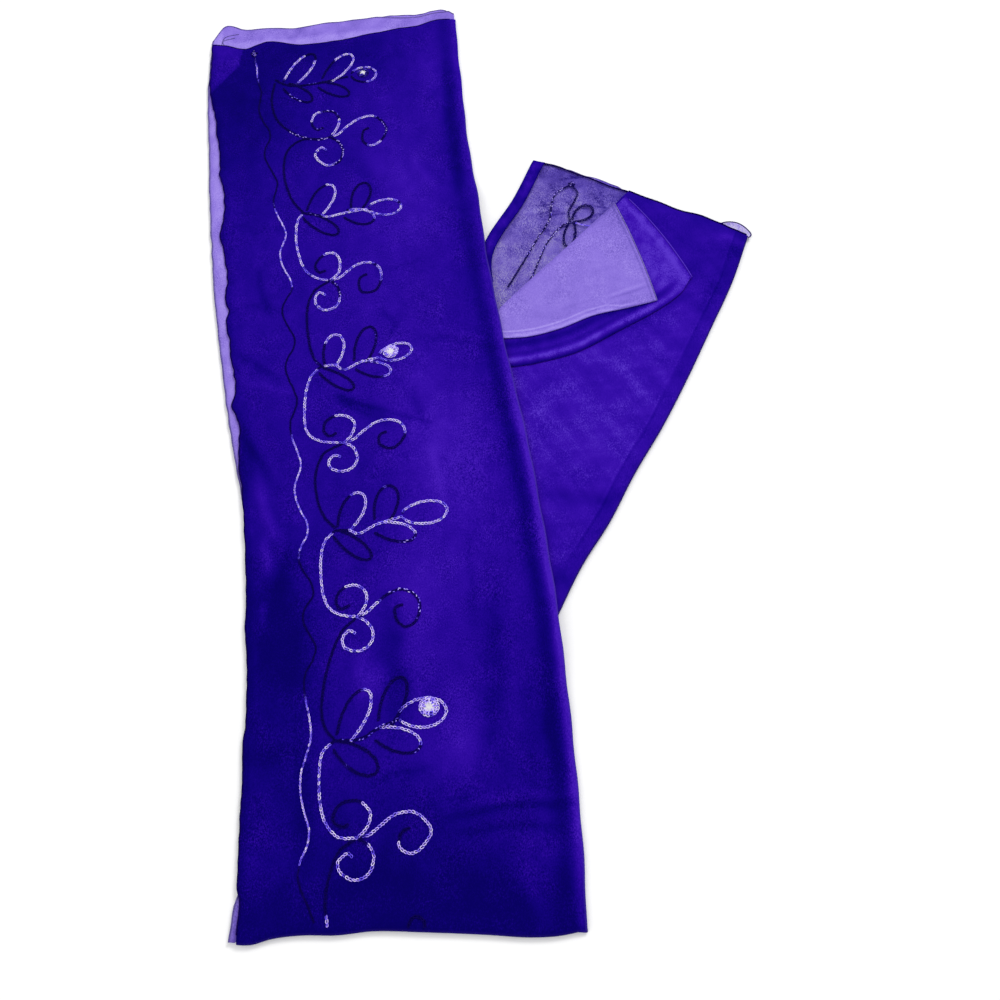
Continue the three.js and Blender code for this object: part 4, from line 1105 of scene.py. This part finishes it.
# The stem from each sprig to the scrolls below it, and on to the next sprig, with its pale stretches.
STEMS = [
    ([(-255, 901), (-256, 873), (-247, 845), (-226, 825), (-202, 817), (-187, 821)], [(0.6, 1.0, -0.85)]),
    ([(-196, 818), (-219, 816), (-233, 799), (-233, 766), (-222, 733), (-209, 716)], []),
    ([(-208, 716), (-214, 701), (-212, 672), (-203, 644), (-190, 631), (-174, 627)], [(0.02, 1.0, 0.95)]),
    ([(-176, 626), (-190, 613), (-195, 590), (-191, 556), (-184, 533), (-176, 524)], [(0.86, 0.97, -0.5)]),
    ([(-177, 523), (-187, 507), (-189, 477), (-185, 451), (-171, 440), (-148, 438)], [(0.02, 1.0, 0.95)]),
    ([(-150, 437), (-167, 426), (-173, 404), (-170, 380), (-162, 361), (-151, 349)], []),
    ([(-151, 347), (-161, 332), (-161, 302), (-154, 275), (-141, 265), (-125, 262)], [(0.02, 1.0, 0.95)]),
    ([(-127, 261), (-140, 247), (-149, 217), (-152, 184), (-148, 165), (-139, 154)], []),
    ([(-139, 153), (-149, 141), (-149, 112), (-143, 88), (-131, 75), (-115, 74)], [(0.02, 1.0, 0.95)]),
    ([(-117, 73), (-130, 63), (-137, 42), (-138, 22), (-135, 7)], [(0.86, 1.0, 0.9)]),
]
LINE_WAY = table("y x", [(-5, -150), (65, -158.5), (146, -163), (233, -166), (327, -178), (430, -194), (543, -209),
                         (666, -225), (802, -254), (950, -283)])
SCROLL_UP = [(0, 0), (7, 10), (7.5, 20), (1, 28), (-10, 29), (-18.5, 23.5), (-21, 14), (-15, 8), (-8, 11)]
SCROLL_RIGHT = [(0, 0), (9, 4), (18, 12), (28, 20), (40, 23.5), (52, 19), (58, 8), (53, -5), (43, -10), (34, -4), (34, 6), (41, 10)]
SCROLL_DOWN = [(0, 0), (9, -5), (15, -15), (11.5, -26), (1, -31), (-10.5, -27), (-14, -19), (-8, -12.5), (-2, -15)]
BORDER_PALE = [(949, 893), (739, 603), (457, 305), (197, 36)]  # heights between which the outer line is pale


def embroider_front():
    rng = np.random.default_rng(17)
    leaves, scrolls, stems, line = Soup(), Soup(), Soup(), Soup()
    for sprig, pale in zip(SPRIGS, SPRIG_PALE):
        ax, ay = sprig["at"]
        stem = spline([(ax + x, ay + y) for x, y in sprig["stem"]])
        chain(leaves, stem, front_top, pale["stem"], rng)
        for part, flip in (("up", 1.0), ("down", -1.0)):
            for (base, ang, long, wide, gap), tones in zip(sprig[part], pale[part]):
                loop = leaf((ax + base[0], ay + base[1]), ang + rng.normal(0, 1), long, wide, gap, flip)
                chain(leaves, spline(loop), front_top, tones, rng)
        base, ang, long, wide, gap = sprig["tip"]
        chain(leaves, spline(leaf((ax + base[0], ay + base[1]), ang, long, wide, gap, 1.0, 0.35)), front_top,
              pale["tip"], rng, 1.15)
    for k, group in enumerate(SCROLLS):
        cx, cy = group["at"]
        a = math.radians(group["turn"])
        for shape, tones in zip((SCROLL_UP, SCROLL_RIGHT, SCROLL_DOWN), group["pale"]):
            pts = np.array(shape, float) * group["size"]
            pts[1:] += rng.normal(0, 0.6, (len(pts) - 1, 2))
            pts = np.stack([cx + pts[:, 0] * math.cos(a) - pts[:, 1] * math.sin(a),
                            cy + pts[:, 0] * math.sin(a) + pts[:, 1] * math.cos(a)], -1)
            chain(scrolls, spline(pts), front_top, tones, rng)
    for way, tones in STEMS:
        chain(stems, spline(np.array(way, float)), front_top, tones, rng, 1.1)
    # the wavy outer line, on from its knot at the top
    y = np.linspace(948, 4, 160)
    s = 950 - y
    wave = 2 * math.pi * (s - 124 + 22 * np.exp(-((s - 740) / 75) ** 2)) / 68
    x = look(LINE_WAY, "y", "x", y) + 4.8 * (1 + 0.22 * np.sin(s / 47)) * np.cos(wave) * smooth((s - 25) / 110)
    x = x + 0.5 * np.sin(2 * wave + 0.7)
    path = spline(np.stack([x, y], -1)[::2])
    total = 948 - 5
    pale = [((948 - a) / total, (948 - b) / total, 0.85) for a, b in BORDER_PALE]
    chain(line, path, front_top, pale, rng, 0.66, 0.33, 2.6)
    kx, ky = path[0]
    for q in range(4):
        ang = q * 1.7
        chain(line, spline([(kx - 3 + q, ky - 2), (kx + 4 * math.cos(ang), ky + 4 * math.sin(ang)),
                            (kx + 2 * math.cos(ang + 2), ky - 3 + 2 * math.sin(ang + 2)), (kx + 1, ky - 5)]),
              front_top, [(0, 1, -0.9)], rng, 0.8, 0.36, 2.4)
    # the tip of a leaf that goes on under the bottom fold
    chain(line, spline([(-72, 6.5), (-71, 11), (-66, 15), (-60, 12), (-59, 6.5)]), front_top, [], rng)
    out = [s.finish(n, m_thread) for s, n in ((leaves, "embroidery_sprigs"), (scrolls, "embroidery_scrolls"),
                                              (stems, "embroidery_stems"), (line, "embroidery_border"))]
    return out


def mirrors():
    """Three small mirrors, each held by a ring of stitches."""
    rng = np.random.default_rng(5)
    glass, ring = Soup(), Soup()
    for (x, y), r, squeeze, reach, level in (((-156, 917), 4.4, 0.9, 5.6, 0.35), ((-108, 540), 4.9, 0.95, 6.6, 0.95),
                                             ((-60, 181), 4.9, 1.0, 7.6, 1.0)):
        z = float(front_top(np.array([x + 0.0]), np.array([y + 0.0]))[0])
        n = 18
        ang = np.linspace(0, 2 * math.pi, n, endpoint=False)
        rad = r * (1 + rng.normal(0, 0.06, n))
        pts, faces = [], []
        for s, h in ((1.0, 0.05), (1.0, 0.75), (0.86, 1.15), (0.45, 1.3)):
            pts += [(x + rad[i] * s * math.cos(a), y + rad[i] * s * squeeze * math.sin(a), z + h) for i, a in enumerate(ang)]
        top = len(pts)
        pts += [(x, y, z + 1.34), (x, y, z + 0.05)]
        for k in range(3):
            for i in range(n):
                j = (i + 1) % n
                faces.append([k * n + i, k * n + j, (k + 1) * n + j, (k + 1) * n + i])
        for i in range(n):
            j = (i + 1) % n
            faces.append([3 * n + i, 3 * n + j, top])
            faces.append([j, i, top + 1])
        glass.add(np.array(pts), faces)
        for rr, lv in ((r + 0.6, level), (reach, level)):
            q = np.linspace(0, 2 * math.pi, 33)
            loop = np.stack([x + rr * np.cos(q), y + rr * squeeze * np.sin(q)], -1)
            chain(ring, loop, lambda a, b: front_top(a, b) + 0.5 * (rr < r + 1), [(-0.1, 1.1, lv)], rng, 1.15, 0.45, 2.9)
        for a in np.linspace(0, 2 * math.pi, 8, endpoint=False) + rng.normal(0, 0.12, 8):
            c, s = math.cos(a), math.sin(a)
            chain(ring, np.array([(x + (reach + 0.6) * c, y + (reach + 0.6) * s * squeeze), (x + r * 0.62 * c, y + r * 0.62 * s * squeeze)]),
                  lambda p, q2: front_top(p, q2) + 1.1, [(-0.1, 1.1, level)], rng, 0.5, 0.33, 2.4)
    return glass.finish("mirrors_glass", m_mirror), ring.finish("mirrors_stitching", m_thread)


def embroider_back():
    rng = np.random.default_rng(29)
    soup = Soup()
    knot = (77, 754)
    left = [(75, 753), (66, 747), (59, 740), (55, 727), (53, 709), (47, 695), (40, 683), (25, 652), (8, 619)]
    right = [(78, 751), (83, 742), (79, 730), (73, 717), (74, 704)]
    drop = leaf((78, 705), 44, 26, 17, 3, -1.0)
    low = leaf((76, 704), -99, 34, 12, 3, 1.0)
    pale = [(78, 702), (68, 700), (57, 688), (47, 671), (37, 643), (29, 622)]
    short = [(79, 702), (86, 699.5), (93, 698), (100, 699)]
    chain(soup, spline(left), back_top, [(0.02, 0.72, -0.95)], rng, 0.8, 0.4, 2.3)
    chain(soup, spline(right), back_top, [], rng, 1.0)
    chain(soup, spline(drop), back_top, [], rng, 1.15, 0.5)
    chain(soup, spline(low), back_top, [], rng, 1.15, 0.5)
    chain(soup, spline(pale), back_top, [(0, 1, -0.95)], rng, 0.75, 0.38, 2.3)
    chain(soup, spline(short), back_top, [(0, 1, 0.7)], rng, 0.8)
    chain(soup, spline([(80, 694), (78, 686), (83, 680)]), back_top, [(0, 1, -0.9)], rng, 0.7, 0.34, 2.6)
    for q in range(5):
        a = q * 1.35
        chain(soup, spline([(knot[0] - 2, knot[1]), (knot[0] + 3.6 * math.cos(a), knot[1] + 3.6 * math.sin(a)),
                            (knot[0] + 1, knot[1] - 1)]), back_top, [(0, 1, -0.8)] if q % 2 else [], rng, 0.8, 0.36, 2.4)
    return soup.finish("embroidery_back", m_thread)


# ------------------------------------------------------------------ make everything
o_front, h_front = overlay_front()
l_front, h_lining = lining_front()
c_front = inner_front()

c_back = layered_solid(
    "inner_layers_back_cloth", 30, 110,
    lambda i, j, inset: on_leg(
        back,
        mix((np.minimum(2.5, leg_width(back, mix(0.03, 0.986, j / 110)) * 0.1) + inset) / leg_width(back, mix(0.03, 0.986, j / 110)),
            1 - (np.minimum(4.5 + 4.0 * (i == 30), leg_width(back, mix(0.03, 0.986, j / 110)) * 0.45) + inset)
            / leg_width(back, mix(0.03, 0.986, j / 110)), i / 30),
        mix(0.03, 0.986, j / 110) + np.where(j == 0, inset, np.where(j == 110, -inset, 0.0)) / BACK_LENGTH),
    lambda x, y: np.full(np.shape(x), CORE_BACK), CORE_BACK, 4, m_inner)


def crinkles(x, y):
    """Fine short wrinkles of the bared single ply, most of them near its hem."""
    rng = np.random.default_rng(77)
    out = np.zeros_like(x)
    for k in range(30):
        cx, cy = rng.uniform(42, 122), rng.uniform(690, 768) if k < 20 else rng.uniform(610, 700)
        a = math.radians(rng.uniform(-75, 20))
        long, wide = rng.uniform(6, 17), rng.uniform(0.7, 1.3)
        bend = rng.uniform(-0.02, 0.02)
        p = (x - cx) * math.cos(a) + (y - cy) * math.sin(a)
        q = (y - cy) * math.cos(a) - (x - cx) * math.sin(a) - bend * p * p
        out += np.exp(-(q / wide) ** 2) * smooth(1.3 - np.abs(p) / long)
    return out


def lining_back_tone(x, y, u, v):
    return (0.16 + ripple(x, y, 81, 0.12, 30) - 0.75 * np.minimum(crinkles(x, y), 1) - 0.25 * smooth((y - 655) / 60)
            - 0.35 * smooth((v - 0.93) / 0.05))


def ply_tone(x, y, u, v):
    edge_in = u * leg_width(back, v)
    return np.clip(0.1 + ripple(x, y, 95, 0.15, 20) - 0.3 * np.exp(-((edge_in - 16) / 3) ** 2)
                   - 0.6 * np.minimum(crinkles(x, y), 1), -1, 1)


l_back, l_back_grid = back_layer("lining_back_cloth", Z_LINING_BACK, 1, 7, "lining", m_lining_back, 100, 220, lining_back_tone,
                    lambda u, v: (1.6 + ripple(u * 250, 0 * u, 53, 1.6, 70)) * smooth((v - 0.95) / 0.05))
p_back, p_back_grid = back_layer("overlay_back_ply_cloth", Z_PLY_BACK, 0.5, 8, "overlay", m_sheer, 84, 190, ply_tone, top_wave)
o_back, o_back_end = overlay_back()

t_over, t_over_grid = turned("turned_corner_overlay_cloth", TURNED_OVERLAY, Z_TURNED_OVERLAY, m_back, 70, 80, corner_lift,
                             corner_tone, False)
t_line, t_line_grid = turned("turned_corner_lining_cloth", TURNED_LINING, Z_TURNED_LINING, m_lining, 60, 90, lavender_lift,
                             lavender_tone, True)

# the hem band down the back leg's left side: the turned-in edge, doubled, with its stitching line
V, C = np.meshgrid(np.linspace(0.66, 1, 90), np.linspace(0, 1, 12), indexing="ij")
w = leg_width(back, V)
bx, by = on_leg(back, 13.0 * C / w, V, end_past(BACK_END, "overlay", 13.0 * C / w, V, BACK_LENGTH, 24) + top_wave(13.0 * C / w, V))
bz = Z_OVERLAY_BACK + WALL * (0.5 + 0.5 * smooth(C / 0.12)) - back_droop(V, 0.0) + 0.12 * np.exp(-((C - 0.9) / 0.06) ** 2)
bt = -0.2 + 0.3 * np.exp(-((C - 0.5) / 0.3) ** 2) - 0.6 * np.exp(-((C - 1.0) / 0.07) ** 2) - 0.5 * np.exp(-(C / 0.06) ** 2)
bt = bt + ripple(bx, by, 97, 0.25, 22)
bp, bf, ba, brim = shell(np.stack([bx, by, bz], -1), {"tone": np.clip(bt, -1, 1), "edge": 0 * bx})
e_back = build("edge_band_back_cloth", bp, bf, m_back, ba, True, brim)

# the open fold at the right of the top, with its hem
loop_grid, loop_tone = corner_loop()
lp, lf, la, lrim = shell(loop_grid[::-1], {"tone": loop_tone[::-1], "edge": 0 * loop_tone}, 0.3)
scoop = build("corner_loop", lp, lf, m_lining_back, la, True, lrim)

# rolled hems of the back leg and of the turned-back corner
dark_hem, pale_hem = Soup(), Soup()
p, f = tube(loop_grid[-1, ::1] + np.array([0, 0, 0.1]), 0.7)
dark_hem.add(p, f, tone=0.4)
for line, r, soup in ((p_back_grid[-1, :44], 0.85, dark_hem), (o_back_end, 0.85, dark_hem),
                      (t_line_grid[-1, 7:], 0.5, pale_hem), (l_back_grid[-1, :86], 0.4, pale_hem)):
    p, f = tube(line + np.array([0, 0, 0.05]), r * (1 + 0.07 * np.sin(np.arange(len(line)) * 1.9)))
    soup.add(p, f, tone=0.1)
hem_back = dark_hem.finish("back_hems", m_hem)
hem_corner = pale_hem.finish("turned_corner_hem", m_hem_pale)
# the turned corner's outer hem takes the lightest violet: a painted highlight along its edge
flap_hem = Soup()
p, f = tube(t_over_grid[-1, 3:] + np.array([0, 0, 0.1]), 0.6)
flap_hem.add(p, f, tone=1.0)
hem_flap = flap_hem.finish("turned_corner_overlay_hem", m_back)

stitched = embroider_front()
glass, ring = mirrors()
stitched_back = embroider_back()

# ------------------------------------------------------------------ hide the imported parts that the cloths stand for
for piece, node, slot in (
        (o_front, "overlay_front", "overlay"), (l_front, "lining_front", "lining"),
        (c_front, "inner_layers_front", "inner_layers"), (c_back, "inner_layers_back", "inner_layers"),
        (l_back, "lining_back", "lining"), (p_back, "overlay_back_ply", "overlay_single"),
        (o_back, "overlay_back", "overlay"), (e_back, "edge_band_back", "edge_band"),
        (t_over, "turned_corner_overlay", "overlay"), (t_line, "turned_corner_lining", "lining")):
    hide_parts(node)

# ------------------------------------------------------------------ floor, lights, camera
def floor():
    mesh = bpy.data.meshes.new("floor")
    n = 24
    s = np.linspace(-3, 3, n + 1)
    X, Y = np.meshgrid(s, s)
    idx = np.arange((n + 1) ** 2).reshape(n + 1, n + 1)
    faces = np.stack([idx[:-1, :-1], idx[:-1, 1:], idx[1:, 1:], idx[1:, :-1]], -1).reshape(-1, 4)
    mesh.from_pydata(np.stack([X, Y, np.full_like(X, -0.0003)], -1).reshape(-1, 3).tolist(), [], faces.tolist())
    mat, nt, bsdf = nodes_of("pale_floor")
    bsdf.inputs["Base Color"].default_value = (0.93, 0.93, 0.93, 1)
    bsdf.inputs["Roughness"].default_value = 0.95
    bsdf.inputs["Specular IOR Level"].default_value = 0.05
    mesh.materials.append(mat)
    obj = bpy.data.objects.new("floor", mesh)
    bpy.context.scene.collection.objects.link(obj)


floor()
scene = bpy.context.scene
world = bpy.data.worlds.new("studio")
world.use_nodes = True
world.node_tree.nodes["Background"].inputs[0].default_value = (1.0, 1.0, 1.0, 1)
world.node_tree.nodes["Background"].inputs[1].default_value = 0.74
scene.world = world


def area(name, place, aim, size, power):
    light = bpy.data.lights.new(name, "AREA")
    light.shape = "RECTANGLE"
    light.size, light.size_y = size
    light.energy = power
    obj = bpy.data.objects.new(name, light)
    obj.location = place
    from mathutils import Vector
    obj.rotation_euler = (Vector(aim) - Vector(place)).to_track_quat("-Z", "Y").to_euler()
    scene.collection.objects.link(obj)


area("key", (1.8, 3.0, 3.0), (0, 0, 0), (1.8, 1.4), 112)
area("fill", (-1.6, -1.3, 2.0), (0, -0.2, 0), (1.6, 1.6), 13)

cam = bpy.data.cameras.new("camera")
cam.lens, cam.sensor_width = 39.64, 36.0
camera = bpy.data.objects.new("camera", cam)
camera.location = (0.03655, -0.5705, 0.928)
camera.rotation_euler = (math.radians(25.5), 0, 0)
scene.collection.objects.link(camera)
scene.camera = camera
scene.view_settings.view_transform = "Standard"
